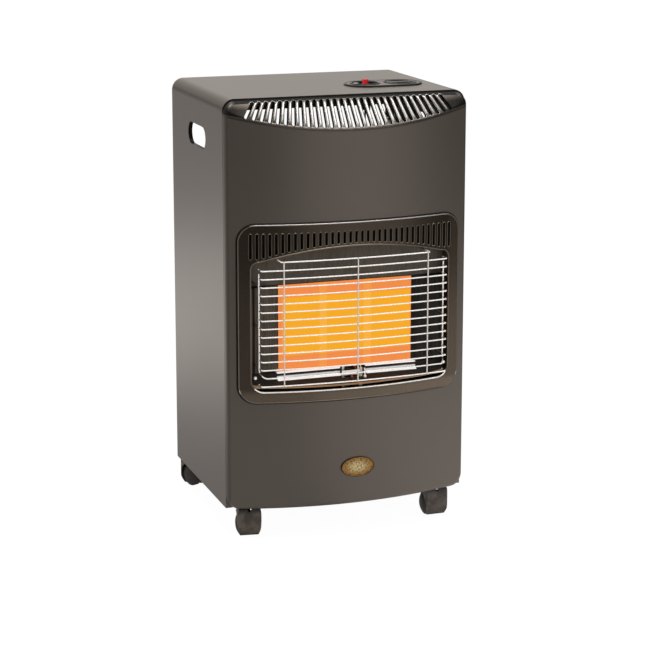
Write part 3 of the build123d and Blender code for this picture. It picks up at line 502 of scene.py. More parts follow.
hood = {"light": rgb(86, 77, 69), "dark": rgb(60, 53, 47), "shade": rgb(20, 18, 17), "rough": 0.32,
        "coat": 0.15, "cloud": 70.0, "under": (0.038, 0.052), "rim": (0.0045, 0.0075),
        "shadeShare": 0.85}


def hoodPlastic():
    # moulded castor hood, with painted shade where it runs in under the cabinet and along its lower
    # rim
    v = hood
    f = Finish("hoodPlastic", Coat_Weight=v["coat"])
    _, _, z = f.axes()
    colour = f.mix(f.noise(v["cloud"], 3.0).soft(0.35, 0.65), v["dark"], v["light"])
    shade = z.soft(*v["under"]).most(1.0 - z.soft(*v["rim"]))
    f.feed("Base Color", f.mix(shade * v["shadeShare"], colour, v["shade"]))
    finelyGrained(f, v["rough"])
    return f.made


valveMetal = {"light": rgb(172, 171, 168), "dark": rgb(140, 140, 138), "metal": 0.85, "rough": 0.42,
              "grit": 700.0, "gritDeep": 0.00008}
glaze = {"light": rgb(238, 235, 226), "dark": rgb(222, 217, 206), "rough": 0.25, "cloud": 40.0}


def castMetal():
    v = valveMetal
    f = Finish("castMetal", Metallic=v["metal"])
    grit = f.noise(v["grit"], 3.0)
    f.feed("Base Color", f.mix(grit, v["dark"], v["light"]))
    f.feed("Roughness", v["rough"] + 0.16 * grit)
    f.bump(grit, v["gritDeep"], 0.5)
    return f.made


def glazedWhite():
    v = glaze
    f = Finish("glazedWhite", Roughness=v["rough"])
    f.feed("Base Color", f.mix(f.noise(v["cloud"]), v["light"], v["dark"]))
    return f.made


shelf = {
    "paintedReflection": rgb(248, 247, 246), "tan": rgb(178, 156, 126), "dark": rgb(30, 27, 25),
    "dull": rgb(58, 53, 48), "reflectionGlow": rgb(214, 218, 224), "strength": 0.5, "streakDim": 0.35,
    "half": 0.1225, "halfFade": 0.001, "ledge": 0.2795, "groove": 0.2754, "low": 0.2686,
    "fade": 0.0003, "ridge": 0.2718, "ridgeFade": 0.0002, "pitch": 0.0014, "ridgeEdge": (0.35, 0.5),
    "radius": 0.6037, "centre": 0.5552, "lip": 0.006, "lipFade": 0.001, "metal": 0.5, "rough": 0.55,
}


def shelfSheet():
    # painted reflection: glowing bright bands and fine ridges on the step under the plaques; a tan
    # front lip, dull elsewhere
    v = shelf
    f = Finish("shelfSheet", Emission_Strength=v["strength"])
    x, y, z = f.axes()
    fade = v["fade"]
    across = 1.0 - x.size().soft(v["half"] - v["halfFade"], v["half"] + v["halfFade"])
    upper = z.soft(v["ledge"] - fade, v["ledge"] + fade)
    lower = z.soft(v["low"] - fade, v["low"] + fade)
    lower = lower * (1.0 - z.soft(v["groove"] - fade, v["groove"] + fade))
    overRidge = z - v["ridge"]
    ridges = (overRidge / v["pitch"]).fract().soft(*v["ridgeEdge"])
    lower = lower * ridges.most(1.0 - overRidge.soft(-v["ridgeFade"], v["ridgeFade"]))
    paintedReflection = across * upper.most(lower)
    bow = y - (seamY + v["centre"]) + (v["radius"] * v["radius"] - x * x) ** 0.5
    lip = 1.0 - bow.soft(v["lip"] - v["lipFade"], v["lip"] + v["lipFade"])
    streak = f.noise(9.0, 3.0, 0.6, f.stretched((3.0, 60.0, 60.0)))
    colour = f.mix(lip, f.mix(streak, v["dark"], v["dull"]), v["tan"])
    f.feed("Base Color", f.mix(paintedReflection, colour, v["paintedReflection"]))
    f.feed("Metallic", v["metal"] * (1.0 - paintedReflection))
    f.feed("Roughness", v["rough"] + 0.2 * streak)
    f.feed("Emission Color", f.mix(paintedReflection * (1.0 - v["streakDim"] * streak), (0, 0, 0, 1), v["reflectionGlow"]))
    return f.made


badge = {"rim": rgb(26, 22, 20), "light": rgb(222, 200, 148), "dark": rgb(160, 116, 48),
         "hollow": rgb(84, 60, 32), "hollowShare": 0.75, "metal": 0.45, "coat": 0.4, "coatRough": 0.1,
         "rough": 0.24, "hammer": 330.0, "hammerDeep": 0.0001, "rimEdge": (0.93, 0.97),
         "x": 0.0048, "z": 0.119, "halfWide": 0.0295, "halfHigh": 0.017}


def badgeMetal():
    # hammered brass field inside a thin dark rim; the field's lighter middle is a painted sheen of its
    # dome
    v = badge
    f = Finish("badgeMetal", Metallic=v["metal"], Coat_Weight=v["coat"], Coat_Roughness=v["coatRough"])
    x, _, z = f.axes()
    reach = (((x - v["x"]) / v["halfWide"]) ** 2.0 + ((z - v["z"]) / v["halfHigh"]) ** 2.0) ** 0.5
    brushed = f.noise(40.0, 3.0, 0.6, f.stretched((4.0, 4.0, 60.0)))
    hammered = f.noise(v["hammer"], 2.0).soft(0.42, 0.66)
    sheenedField = f.mix(1.0 - reach.soft(0.1, 0.9), v["dark"], v["light"])
    sheenedField = f.mix(hammered * v["hollowShare"], sheenedField, v["hollow"])
    f.feed("Base Color", f.mix(reach.soft(*v["rimEdge"]), sheenedField, v["rim"]))
    f.feed("Roughness", v["rough"] + 0.16 * brushed)
    f.bump(hammered, v["hammerDeep"], 0.5)
    return f.made


wells = {
    # painted shade in the wells' floor and wall colours, painted light in the lit ones
    "face": 0.740, "under": (-0.0008, -0.0004), "level": 0.8, "floor": rgb(120, 115, 109),
    "floorLit": rgb(255, 253, 248), "litEnd": (0.069, 0.075), "wall": rgb(14, 13, 13),
    "wallLit": rgb(226, 224, 220), "wallFacing": (0.1, 0.5), "wallEnd": (0.098, 0.1), "roughMore": 0.4,
}
knob = {"light": rgb(112, 106, 99), "dark": rgb(98, 93, 87), "well": rgb(6, 6, 6), "face": 0.7406,
        "under": (-0.0006, -0.0002), "metal": 0.6, "rough": 0.36, "wellRough": 0.5}


def controlPaint():
    # painted face; painted shade makes the walls of the wells black and their brushed floor darker,
    # and painted light makes the floor, and the walls facing right, pale left of the button
    v = wells
    f = Finish("controlPaint")
    x, _, z = f.axes()
    nx, _, nz = f.facing()
    deep = 1.0 - (z - v["face"]).soft(*v["under"])
    upright = nz.below(v["level"])
    floor = (1.0 - upright) * deep
    walls = deep * upright
    lit = floor * (1.0 - x.soft(*v["litEnd"]))
    wallLit = walls * nx.soft(*v["wallFacing"]) * (1.0 - x.soft(*v["wallEnd"]))
    brushed = f.noise(30.0, 2.0, 0.5, f.stretched((2.0, 60.0, 60.0)))
    colour = f.mix(f.noise(casing["cloud"], 2.0), casing["dark"], casing["light"])
    colour = f.mix(floor, colour, v["floor"])
    colour = f.mix(lit, colour, v["floorLit"])
    colour = f.mix(walls, colour, v["wall"])
    f.feed("Base Color", f.mix(wallLit, colour, v["wallLit"]))
    f.feed("Metallic", casing["metal"] * (1.0 - walls.most(lit)))
    f.feed("Roughness", casing["rough"] + v["roughMore"] * deep + 0.08 * brushed)
    f.bump(brushed, 0.00004, 0.4)
    return f.made


def knobPaint():
    # grey moulding, with painted shade making its finger wells black
    v = knob
    f = Finish("knobPaint")
    _, _, z = f.axes()
    deep = 1.0 - (z - v["face"]).soft(*v["under"])
    grey = f.mix(f.noise(mouldSkin["cloud"]), v["dark"], v["light"])
    f.feed("Base Color", f.mix(deep, grey, v["well"]))
    f.feed("Metallic", v["metal"] * (1.0 - deep))
    finelyGrained(f, v["rough"] + v["wellRough"] * deep)
    return f.made


paint = casingPaint("casingPaint", casing)
wrapPaint = casingPaint("wrapPaint", casing, wrapBareAndShaded)
panelPaint = casingPaint("panelPaint", casing, panelBareAndShaded, shoulderShade)
ribPaintLitAndShaded = casingPaint("ribPaintLitAndShaded", ribLitLook, None, ribShade)
enamel = surroundEnamel("surroundEnamel", surroundLook, surroundPaintedLight)
rolledHighlightEnamel = surroundEnamel("rolledHighlightEnamel", rolledHighlightLook, rolledPaintedHighlight)
chrome = brightWire()
sheet = {name: rolledSheet(name, look) for name, look in sheets.items()}
moulding = {name: mouldedPlastic(name, look) for name, look in mouldings.items()}
warmMetal = {name: cloudedMetal(name, look) for name, look in warmMetals.items()}
print("finishes made")

bySlot = {
    "casing_paint": paint, "surround_enamel": enamel, "guard_chrome": chrome,
    "badge_brass": badgeMetal(), "plated_steel": platedSteel(),
    "polished_steel": sheet["reflectorSteel"], "fitting_brass": warmMetal["fineBrass"],
    "copper_tube": warmMetal["drawnCopper"],
    "electrode_ceramic": glazedWhite(), "plaque_ceramic": glowingPlaque(),
    "lead_rubber": moulding["rubberAndShadowBlack"], "knob_plastic": knobPaint(), "cast_alloy": castMetal(),
    "red_plastic": moulding["redPlastic"], "castor_plastic": hoodPlastic(),
    "wheel_plastic": moulding["wheelPlastic"],
}
byNode = {
    "cabinet_wrap": wrapPaint, "front_panel": panelPaint, "control_plate": controlPaint(),
    "igniter_body": moulding["bezelAndShadowBlack"], "reflector_right": sheet["shadedReflector"],
    "reflector_top": sheet["topReflector"], "reflector_bottom": shelfSheet(),
    "pilot_bracket": sheet["paintedGlintSteel"], "burner_plate": sheet["shadedBackSheet"],
    "heat_shield": sheet["shadedBackSheet"], "pilot_burner": sheet["shadedBackSheet"],
}
nodeSharp = 32          # degrees

for entry in frame["record"]["subparts"]:
    piece = parts[entry["node"]]
    look = byNode.get(entry["node"], bySlot[entry["material_slot"]])
    piece.data.materials.clear()
    piece.data.materials.append(look)
    for face in piece.data.polygons:
        face.use_smooth = True
    piece.data.set_sharp_from_angle(angle=math.radians(nodeSharp))
print("finishes on the nodes")


def sweepTube(mesh, points, radius, sides, loop=False):
    # a round tube through the points, its rings turned as little as they can be
    across = None
    rings = []
    count = len(points)
    for i, point in enumerate(points):
        before = points[i - 1] if loop else points[max(i - 1, 0)]
        after = points[(i + 1) % count] if loop else points[min(i + 1, count - 1)]
        along = (after - before).normalized()
        if across is None:
            across = along.orthogonal().normalized()
        across = (across - along * across.dot(along)).normalized()
        other = along.cross(across)
        ring = []
        for k in range(sides):
            turn = 2 * math.pi * k / sides
            spot = point + (across * math.cos(turn) + other * math.sin(turn)) * radius
            ring.append(mesh.verts.new(spot))
        rings.append(ring)
    nextRings = rings[1:] + (rings[:1] if loop else [])
    for first, second in zip(rings, nextRings):
        for k in range(sides):
            n = (k + 1) % sides
            mesh.faces.new((first[k], first[n], second[n], second[k]))
    if not loop:
        mesh.faces.new(tuple(reversed(rings[0])))
        mesh.faces.new(tuple(rings[-1]))


def placed(name, data):
    piece = bpy.data.objects.new(name, data)
    bpy.context.scene.collection.objects.link(piece)
    return piece


def makeObject(name, mesh, look, body, sharp=40):
    # sharp is in degrees
    data = bpy.data.meshes.new(name)
    mesh.normal_update()
    mesh.to_mesh(data)
    mesh.free()
    for face in data.polygons:
        face.use_smooth = True
    data.set_sharp_from_angle(angle=math.radians(sharp))
    data.materials.append(look)
    piece = placed(name, data)
    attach(piece, body)
    return piece


def curved(start, control, end, steps):
    # points of a quadratic curve, both ends included
    spots = []
    for k in range(steps + 1):
        t = k / steps
        spots.append(start * (1 - t) ** 2 + control * 2 * t * (1 - t) + end * t ** 2)
    return spots


# The guard's bars are numbered from the top. One of them turns up into the outer uprights.

guard = {
    "wire": 0.0022, "front": 0.061, "sag": 0.011, "half": 0.161, "topHalf": 0.129,
    "innerHalf": 0.125, "bars": 16, "low": 0.2705, "pitch": 0.01375, "bend": 0.004,
    "postBack": 0.016, "longLegs": (4, 9, 14), "plate": 0.0003, "sides": 12,
    "turnedBar": 15, "turn": 0.009, "postBar": 3, "overBar": 3, "proud": 0.7, "bulge": 0.2,
    "barSteps": 40, "bendSteps": 8, "postSteps": 24, "turnSteps": 12, "uprightSteps": 30,
}


def guardY(x):
    radius = (guard["half"] ** 2 + guard["sag"] ** 2) / (2 * guard["sag"])
    return seamY - guard["front"] + radius - math.sqrt(radius ** 2 - x ** 2)


def barHeight(number):
    return guard["low"] + (guard["bars"] - number) * guard["pitch"]


def mirrored(points):
    return [Vector((-p.x, p.y, p.z)) for p in reversed(points)]


def barMiddle(start, z):
    steps = guard["barSteps"]
    spots = []
    for k in range(1, steps):
        x = -start + 2 * start * k / steps
        spots.append(Vector((x, guardY(x), z)))
    return spots


def barPoints(number):
    half = guard["topHalf"] if number == 1 else guard["half"]
    z = barHeight(number)
    endY = guardY(half)
    legY = endY + guard["postBack"] + guard["wire"] / 2
    if number == 1 or number in guard["longLegs"]:
        legY = seamY + guard["plate"]
    bend = guard["bend"]
    start = half - bend
    near = 0.001
    slope = (guardY(start) - guardY(start - near)) / near
    corner = Vector((-half, guardY(start) - slope * bend * guard["bulge"], z))
    end = [Vector((-half, legY, z))]
    end += curved(Vector((-half, endY + bend, z)), corner, Vector((-start, guardY(start), z)),
                  guard["bendSteps"])
    return end + barMiddle(start, z) + mirrored(end)


def turnedBarPoints():
    low = barHeight(guard["turnedBar"])
    high = barHeight(guard["postBar"]) + guard["overBar"] * guard["wire"]
    half = guard["half"]
    turn = guard["turn"]
    postY = guardY(half) + guard["postBack"]
    start = half - turn
    steps = guard["postSteps"]
    end = [Vector((-half, postY, high - (high - low - turn) * k / steps)) for k in range(steps)]
    corner = Vector((-half, (postY + guardY(start)) / 2, low))
    end += curved(Vector((-half, postY, low + turn)), corner, Vector((-start, guardY(start), low)),
                  guard["turnSteps"])
    return end + barMiddle(start, low) + mirrored(end)


def wireGuard():
    mesh = bmesh.new()
    radius = guard["wire"] / 2
    for number in range(1, guard["bars"] + 1):
        turned = number == guard["turnedBar"]
        points = turnedBarPoints() if turned else barPoints(number)
        sweepTube(mesh, points, radius, guard["sides"])
    low = barHeight(guard["bars"]) - radius
    high = barHeight(1) + radius
    steps = guard["uprightSteps"]
    for x in (-guard["innerHalf"], 0.0, guard["innerHalf"]):
        y = guardY(x) - guard["wire"] * guard["proud"]
        spots = [Vector((x, y, low + (high - low) * k / steps)) for k in range(steps + 1)]
        sweepTube(mesh, spots, radius, guard["sides"])
    piece = makeObject("roundWireGuard", mesh, chrome, "cabinet")
    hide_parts("wire_guard")


wireGuard()
print("wire guard made")


trim = {"arc": 8, "run": 0.02, "sides": 8, "beadSides": 10}  # steps of an arc, longest run


def bowY(x, proud=0.0):
    # the front's face at x, or as far in front of it as proud says
    radius = (panel["half"] ** 2 + panel["rise"] ** 2) / (2 * panel["rise"])
    centre = radius - panel["flank"] - panel["rise"]
    return seamY + centre - math.sqrt((radius + proud) ** 2 - x ** 2)


def onBow(outline, proud):
    return [Vector((x, bowY(x, proud), z)) for x, z in outline]


def arcSpots(centreX, centreZ, radius, first, last, steps):
    # first and last are in degrees
    spots = []
    for k in range(steps + 1):
        turn = math.radians(first + (last - first) * k / steps)
        spots.append((centreX + radius * math.cos(turn), centreZ + radius * math.sin(turn)))
    return spots


def filled(spots):
    # extra points on the long runs, so that they can follow the bow
    out = []
    for (x0, z0), (x1, z1) in zip(spots, spots[1:] + spots[:1]):
        steps = max(1, int(math.hypot(x1 - x0, z1 - z0) / trim["run"]))
        out += [(x0 + (x1 - x0) * k / steps, z0 + (z1 - z0) * k / steps) for k in range(steps)]
    return out


def roundedOutline(half, low, high, corner):
    spots = []
    foot, head = low + corner, high - corner
    for side, z, first in ((1, foot, -90), (1, head, 0), (-1, head, 90), (-1, foot, 180)):
        spots += arcSpots(side * (half - corner), z, corner, first, first + 90, trim["arc"])
    return filled(spots)


louvre = {
    "count": 29, "width": 0.0064, "topHalf": 0.161, "footHalf": 0.1775, "topInset": 0.0034,
    "footInset": 0.0035, "edge": 0.0006, "edgeOut": 0.9, "crown": 0.0021, "sunk": 0.0005,
    "rows": 14, "columns": 12, "ease": 0.16, "deep": 0.0075, "lining": 0.0001, "droop": 0.15,
    "sharp": 60,
}


def louvreEnds(i):
    # head and foot of a slot in the fan
    share = 2 * i / (louvre["count"] - 1) - 1
    footX = share * louvre["footHalf"]
    low = Vector((footX, bowY(footX), creaseHeight(footX)))
    along = (low - Vector((footX, seamY - panel["back"], panel["top"]))).normalized()
    head = Vector((share * louvre["topHalf"], seamY - panel["back"], panel["top"]))
    return head + along * louvre["topInset"], low - along * louvre["footInset"]


def outOfSheet(across, along):
    # square to both, on the sheet's front side
    outward = across.cross(along).normalized()
    if outward.y > 0:
        outward.negate()
    return outward


def slotSpots(i, grow):
    # points round one slot, and the way out of the sheet
    head, foot = louvreEnds(i)
    along = (foot - head).normalized()
    outward = outOfSheet(Vector((1, 0, 0)), along)
    side = along.cross(outward).normalized()
    inset = louvre["width"] / 2
    radius = inset + grow
    spots = []
    for centre, way in ((foot - along * inset, 1), (head + along * inset, -1)):
        for k in range(trim["arc"] + 1):
            turn = math.pi * k / trim["arc"] - math.pi / 2
            spots.append(centre + way * (along * math.cos(turn) + side * math.sin(turn)) * radius)
    return spots, outward


def slotWall(mesh, i):
    # the slot's edge is turned in all round, straight back and a little down
    spots, outward = slotSpots(i, -louvre["lining"])
    inward = Vector((min(0.0, -outward.x), 1.0, -louvre["droop"])).normalized()
    front = [mesh.verts.new(spot) for spot in spots]
    rear = [mesh.verts.new(spot + inward * louvre["deep"]) for spot in spots]
    for k in range(len(spots)):
        n = (k + 1) % len(spots)
        mesh.faces.new((front[k], front[n], rear[n], rear[k]))


def crownedRib(mesh, i):
    # a rib stands between slot i and the next one
    headA, footA = louvreEnds(i)
    headB, footB = louvreEnds(i + 1)
    rows = []
    for j in range(louvre["rows"] + 1):
        t = j / louvre["rows"]
        left = headA.lerp(footA, t)
        right = headB.lerp(footB, t)
        across = (right - left).normalized()
        along = ((footA + footB) - (headA + headB)).normalized()
        outward = outOfSheet(across, along)
        half = ((right - left).length - louvre["width"]) / 2
        toEnd = min(t, 1 - t, louvre["ease"]) / louvre["ease"]
        swell = math.sqrt(max(0.0, 1 - (1 - toEnd) ** 2))
        row = []
        for k in range(louvre["columns"] + 1):
            u = 2 * k / louvre["columns"] - 1
            lift = louvre["crown"] * swell * math.sqrt(max(0.0, 1 - u * u)) - louvre["sunk"]
            row.append(mesh.verts.new((left + right) / 2 + across * half * u + outward * lift))
        rows.append(row)
    for first, second in zip(rows, rows[1:]):
        for k in range(louvre["columns"]):
            mesh.faces.new((first[k], second[k], second[k + 1], first[k + 1]))


def louvreTrim():
    # rolled slot edges and crowned ribs in one piece, slot walls in another
    edges = bmesh.new()
    walls = bmesh.new()
    for i in range(louvre["count"]):
        spots, _ = slotSpots(i, louvre["edge"] * louvre["edgeOut"])
        sweepTube(edges, spots, louvre["edge"], trim["sides"], loop=True)
        slotWall(walls, i)
    for i in range(louvre["count"] - 1):
        crownedRib(edges, i)
    makeObject("louvreRibs", edges, ribPaintLitAndShaded, "cabinet", louvre["sharp"])
    makeObject("louvreWalls", walls, moulding["shadedWall"], "cabinet",
               louvre["sharp"])


louvreTrim()
print("louvre trim made")


surround = {"half": 0.193, "low": 0.2374, "high": 0.5357, "corner": 0.029, "proud": 0.0045,
            "shadowGap": 0.0012, "shadowGapOut": 0.8, "shadowGapProud": 0.0002, "bead": 0.001, "beadSunk": 0.0006}


def beadOnBow(name, outline, proud, radius, sides, look):
    # a closed round bead along an outline on the front
    mesh = bmesh.new()
    sweepTube(mesh, onBow(outline, proud), radius, sides, loop=True)
    makeObject(name, mesh, look, "cabinet")


def surroundOutline(grow):
    v = surround
    return roundedOutline(v["half"] + grow, v["low"] - grow, v["high"] + grow, v["corner"] + grow)


def surroundBeads():
    # painted shade: a black tube stands for the shadow gap round the surround; and its rolled edge, in
    # the paler enamel as a painted highlight
    v = surround
    beadOnBow("surroundShadowLine", surroundOutline(v["shadowGap"] * v["shadowGapOut"]), v["shadowGapProud"], v["shadowGap"],
              trim["sides"], moulding["rubberAndShadowBlack"])
    beadOnBow("surroundBead", surroundOutline(-v["bead"]), v["proud"] - v["beadSunk"], v["bead"],
              trim["beadSides"], rolledHighlightEnamel)


opening = {
    "half": 0.1725, "low": 0.257, "sideTop": 0.462, "crown": 0.496, "shoulder": 0.474,
    "corner": 0.020, "turn": 0.014, "bead": 0.0011, "beadOut": 0.7, "lift": 0.0004,
    "cornerIn": 0.0036, "cornerUp": 0.68, "turnSteps": 6, "archSteps": 30,
    "footEnd": 222, "footHalf": 0.14, "footPitch": 0.02,
}


def throughThree(a, b, c, steps):
    # points of the circle arc from a over b to c, without c
    (ax, az), (bx, bz), (cx, cz) = a, b, c
    d = 2 * (ax * (bz - cz) + bx * (cz - az) + cx * (az - bz))
    sa, sb, sc = ax * ax + az * az, bx * bx + bz * bz, cx * cx + cz * cz
    ux = (sa * (bz - cz) + sb * (cz - az) + sc * (az - bz)) / d
    uz = (sa * (cx - bx) + sb * (ax - cx) + sc * (bx - ax)) / d
    radius = math.hypot(ax - ux, az - uz)
    first = math.atan2(az - uz, ax - ux)
    last = math.atan2(cz - uz, cx - ux)
    if last - first > math.pi:
        last -= 2 * math.pi
    if last - first < -math.pi:
        last += 2 * math.pi
    spots = []
    for k in range(steps):
        turn = first + (last - first) * k / steps
        spots.append((ux + radius * math.cos(turn), uz + radius * math.sin(turn)))
    return spots


def openingOutline(grow):
    # rounded foot corners, upright sides, tight upper corners and a shallow arch
    v = opening
    half = v["half"] + grow
    low = v["low"] - grow
    corner = v["corner"] + grow
    turnX = v["half"] - v["turn"]
    turnZ = v["shoulder"] + grow
    side = v["sideTop"]
    middle = (half - v["cornerIn"], side + (turnZ - side) * v["cornerUp"])
    right = throughThree((half, side), middle, (turnX, turnZ), v["turnSteps"])
    left = [(-x, z) for x, z in reversed(right[1:])]
    spots = arcSpots(-half + corner, low + corner, corner, 180, 270, trim["arc"])
    spots += arcSpots(half - corner, low + corner, corner, 270, 360, trim["arc"])
    spots += right
    spots += throughThree((turnX, turnZ), (0, v["crown"] + grow), (-turnX, turnZ), v["archSteps"])
    spots += [(-turnX, turnZ)] + left + [(-half, side)]
    return filled(spots)


# the bead round the opening takes the paler enamel as a painted highlight
def openingBead():
    v = opening
    beadOnBow("openingBead", openingOutline(v["bead"] * v["beadOut"]), surround["proud"], v["bead"],
              trim["beadSides"], rolledHighlightEnamel)


def openingFootHighlight():
    # painted highlight: a near-white tube along the lower run of the bead, up to both corners
    v = opening
    mesh = bmesh.new()
    grow = v["bead"] * v["beadOut"]
    radius = v["corner"] + grow
    centreX = v["half"] - v["corner"]
    centreZ = v["low"] + v["corner"]
    steps = round(2 * v["footHalf"] / v["footPitch"])
    spots = arcSpots(-centreX, centreZ, radius, v["footEnd"], 270, trim["arc"])
    spots += [(v["footPitch"] * (k - steps / 2), v["low"] - grow) for k in range(steps + 1)]
    spots += arcSpots(centreX, centreZ, radius, 270, 540 - v["footEnd"], trim["arc"])
    line = onBow(spots, surround["proud"] + v["lift"])
    sweepTube(mesh, line, v["bead"], trim["beadSides"])
    makeObject("openingFootHighlight", mesh, sheet["paintedGlintSteel"], "cabinet")


vents = {"count": 35, "half": 0.173, "width": 0.0045, "top": 0.5206, "land": 0.005, "edge": 0.00055,
         "edgeOut": 0.8}


def archHeight(x):
    turnX = opening["half"] - opening["turn"]
    rise = opening["crown"] - opening["shoulder"]
    radius = (turnX ** 2 + rise ** 2) / (2 * rise)
    return opening["crown"] - radius + math.sqrt(radius ** 2 - min(abs(x), turnX) ** 2)


def ventEdges():
    # the vents end a land's width above the arch; their rims take the paler enamel as a painted
    # highlight
    v = vents
    mesh = bmesh.new()
    inset = v["width"] / 2
    radius = inset + v["edge"] * v["edgeOut"]
    for i in range(v["count"]):
        x = -v["half"] + 2 * v["half"] * i / (v["count"] - 1)
        low = archHeight(x) + v["land"]
        spots = arcSpots(x, v["top"] - inset, radius, 0, 180, trim["arc"])
        spots += arcSpots(x, low + inset, radius, 180, 360, trim["arc"])
        line = onBow(filled(spots), surround["proud"])
        sweepTube(mesh, line, v["edge"], trim["sides"], loop=True)
    makeObject("ventEdges", mesh, rolledHighlightEnamel, "cabinet")


surroundBeads()
openingBead()
openingFootHighlight()
ventEdges()
print("surround trim made")


pilot = {
    "shieldLow": 0.2690, "shieldHigh": 0.2772, "shieldLeft": -0.0122, "shieldRight": 0.0195,
    "front": -0.1728, "channel": 0.0009, "rows": 6, "steps": 10, "sides": 12,
    "post": ((0.0262, -0.181, 0.2668), (0.0274, -0.1765, 0.2705), (0.0278, -0.1738, 0.2782)),
    "postRadius": 0.0012, "ball": 0.0028, "tip": 0.0014, "elbowRadius": 0.0015,
    "elbow": ((0.0036, -0.1765, 0.2690), (0.0030, -0.1835, 0.2690), (0.0030, -0.1835, 0.2645)),
}
stud = {"x": 0.1657, "y": -0.183, "z": 0.2802, "radius": 0.0028}
ballSegments = (16, 10)


def roundBall(mesh, spot, radius):
    around, upward = ballSegments
    bmesh.ops.create_uvsphere(mesh, u_segments=around, v_segments=upward, radius=radius,
                              matrix=Matrix.Translation(spot))


def pilotShield():
    # a shallow channel in the near-white steel, a painted glint, with the post at its right
    v = pilot
    mesh = bmesh.new()
    lift = (v["shieldHigh"] - v["shieldLow"]) / v["rows"]
    rows = []
    for k in range(v["rows"] + 1):
        y = v["front"] - v["channel"] * math.sin(math.pi * k / v["rows"])
        z = v["shieldLow"] + lift * k
        rows.append([mesh.verts.new((x, y, z)) for x in (v["shieldLeft"], v["shieldRight"])])
    for low, high in zip(rows, rows[1:]):
        mesh.faces.new((low[0], low[1], high[1], high[0]))
    post = [Vector(spot) for spot in v["post"]]
    sweepTube(mesh, curved(*post, v["steps"]), v["postRadius"], v["sides"])
    roundBall(mesh, post[0], v["ball"])
    roundBall(mesh, post[2], v["tip"])
    makeObject("pilotShield", mesh, sheet["paintedGlintSteel"], "cabinet")


def pilotElbow():
    v = pilot
    mesh = bmesh.new()
    elbow = [Vector(spot) for spot in v["elbow"]]
    sweepTube(mesh, curved(*elbow, v["steps"]), v["elbowRadius"], v["sides"])
    makeObject("pilotElbow", mesh, warmMetal["drawnCopper"], "cabinet")


# the guard's studs, in the near-white steel as a painted glint
def guardStuds():
    mesh = bmesh.new()
    for side in (-1, 1):
        roundBall(mesh, Vector((side * stud["x"], stud["y"], stud["z"])), stud["radius"])
    makeObject("guardStuds", mesh, sheet["paintedGlintSteel"], "cabinet")


pilotShield()
pilotElbow()
guardStuds()
print("pilot trim made")


# Each ring of a well is its centre's x, its radius and its thickness.

controls = {"x": 0.106, "y": 0.110, "top": 0.7375, "length": 0.130, "width": 0.070, "thick": 0.0025,
            "edge": 0.0023, "edgeOut": 0.6, "edgeUp": 0.0006, "endSteps": 24, "ringSteps": 48,
            "rings": ((0.0735, 0.0240, 0.0022), (0.1370, 0.0272, 0.0019)), "ringSunk": 0.25}


def flatLine(spots, z):
    return [Vector((x, y, z)) for x, y in spots]


def controlTrim():
    # painted shade: a black tube stands for the shadow under the plate's edge; and a ring in each well
    v = controls
    mesh = bmesh.new()
    y = seamY + v["y"]
    radius = v["width"] / 2 + v["edge"] * v["edgeOut"]
    reach = (v["length"] - v["width"]) / 2
    spots = arcSpots(v["x"] + reach, y, radius, -90, 90, v["endSteps"])
    spots += arcSpots(v["x"] - reach, y, radius, 90, 270, v["endSteps"])
    edge = flatLine(filled(spots), v["top"] + v["edgeUp"])
    sweepTube(mesh, edge, v["edge"], trim["sides"], loop=True)
    height = v["top"] + v["thick"]
    for x, ringRadius, thin in v["rings"]:
        ring = arcSpots(x, y, ringRadius, 0, 360, v["ringSteps"])[:-1]
        line = flatLine(ring, height - thin * v["ringSunk"])
        sweepTube(mesh, line, thin, trim["sides"], loop=True)
    makeObject("controlTrim", mesh, moulding["bezelAndShadowBlack"], "cabinet")


controlTrim()
print("control trim made")


# What the glossy paint sees of the floor. Ahead is a little to the right of straight.

floorLook = {
    "half": 20.0, "grey": (0.85, 0.85, 0.85, 1.0), "rough": 0.9, "show": 0.93, "white": 1.04,
    "near": (1.2, 2.9), "nearShare": 0.14, "aheadX": 0.326, "aheadY": -0.946,
    "lane": (0.86, 0.995), "laneShare": 0.28, "right": (-0.3, 0.9), "rightShare": 0.27,
    "left": (0.7, 0.95), "leftShare": 0.1, "least": 0.04, "patch": (0.5, 1.5),
    "patchEnd": (1.9, 3.2), "patchShare": 0.62, "behind": 0.32, "behindRight": (-0.1, 0.25),
    "behindRightDim": 0.85, "back": (-0.1, 0.4),
}


def floorGloss(f):
    # paler close by, a pale lane ahead, a pale patch behind
    v = floorLook
    x, y, _ = f.axes()
    reach = (x * x + y * y) ** 0.5
    near = 1.0 - reach.soft(*v["near"])
    lane = ((x * v["aheadX"] + y * v["aheadY"]) / reach).soft(*v["lane"])
    right = (x / reach).soft(*v["right"])
    left = (-x / reach).soft(*v["left"])
    near = near * (v["nearShare"] + v["rightShare"] * right)
    ahead = v["least"] + near.most(lane * v["laneShare"]) + left * v["leftShare"]
    patch = reach.soft(*v["patch"]) * (1.0 - reach.soft(*v["patchEnd"]))
    behind = v["behind"] + v["patchShare"] * patch
    behind = behind * (1.0 - v["behindRightDim"] * (x / reach).soft(*v["behindRight"]))
    back = y.soft(*v["back"])
    return ahead * (1.0 - back) + behind * back


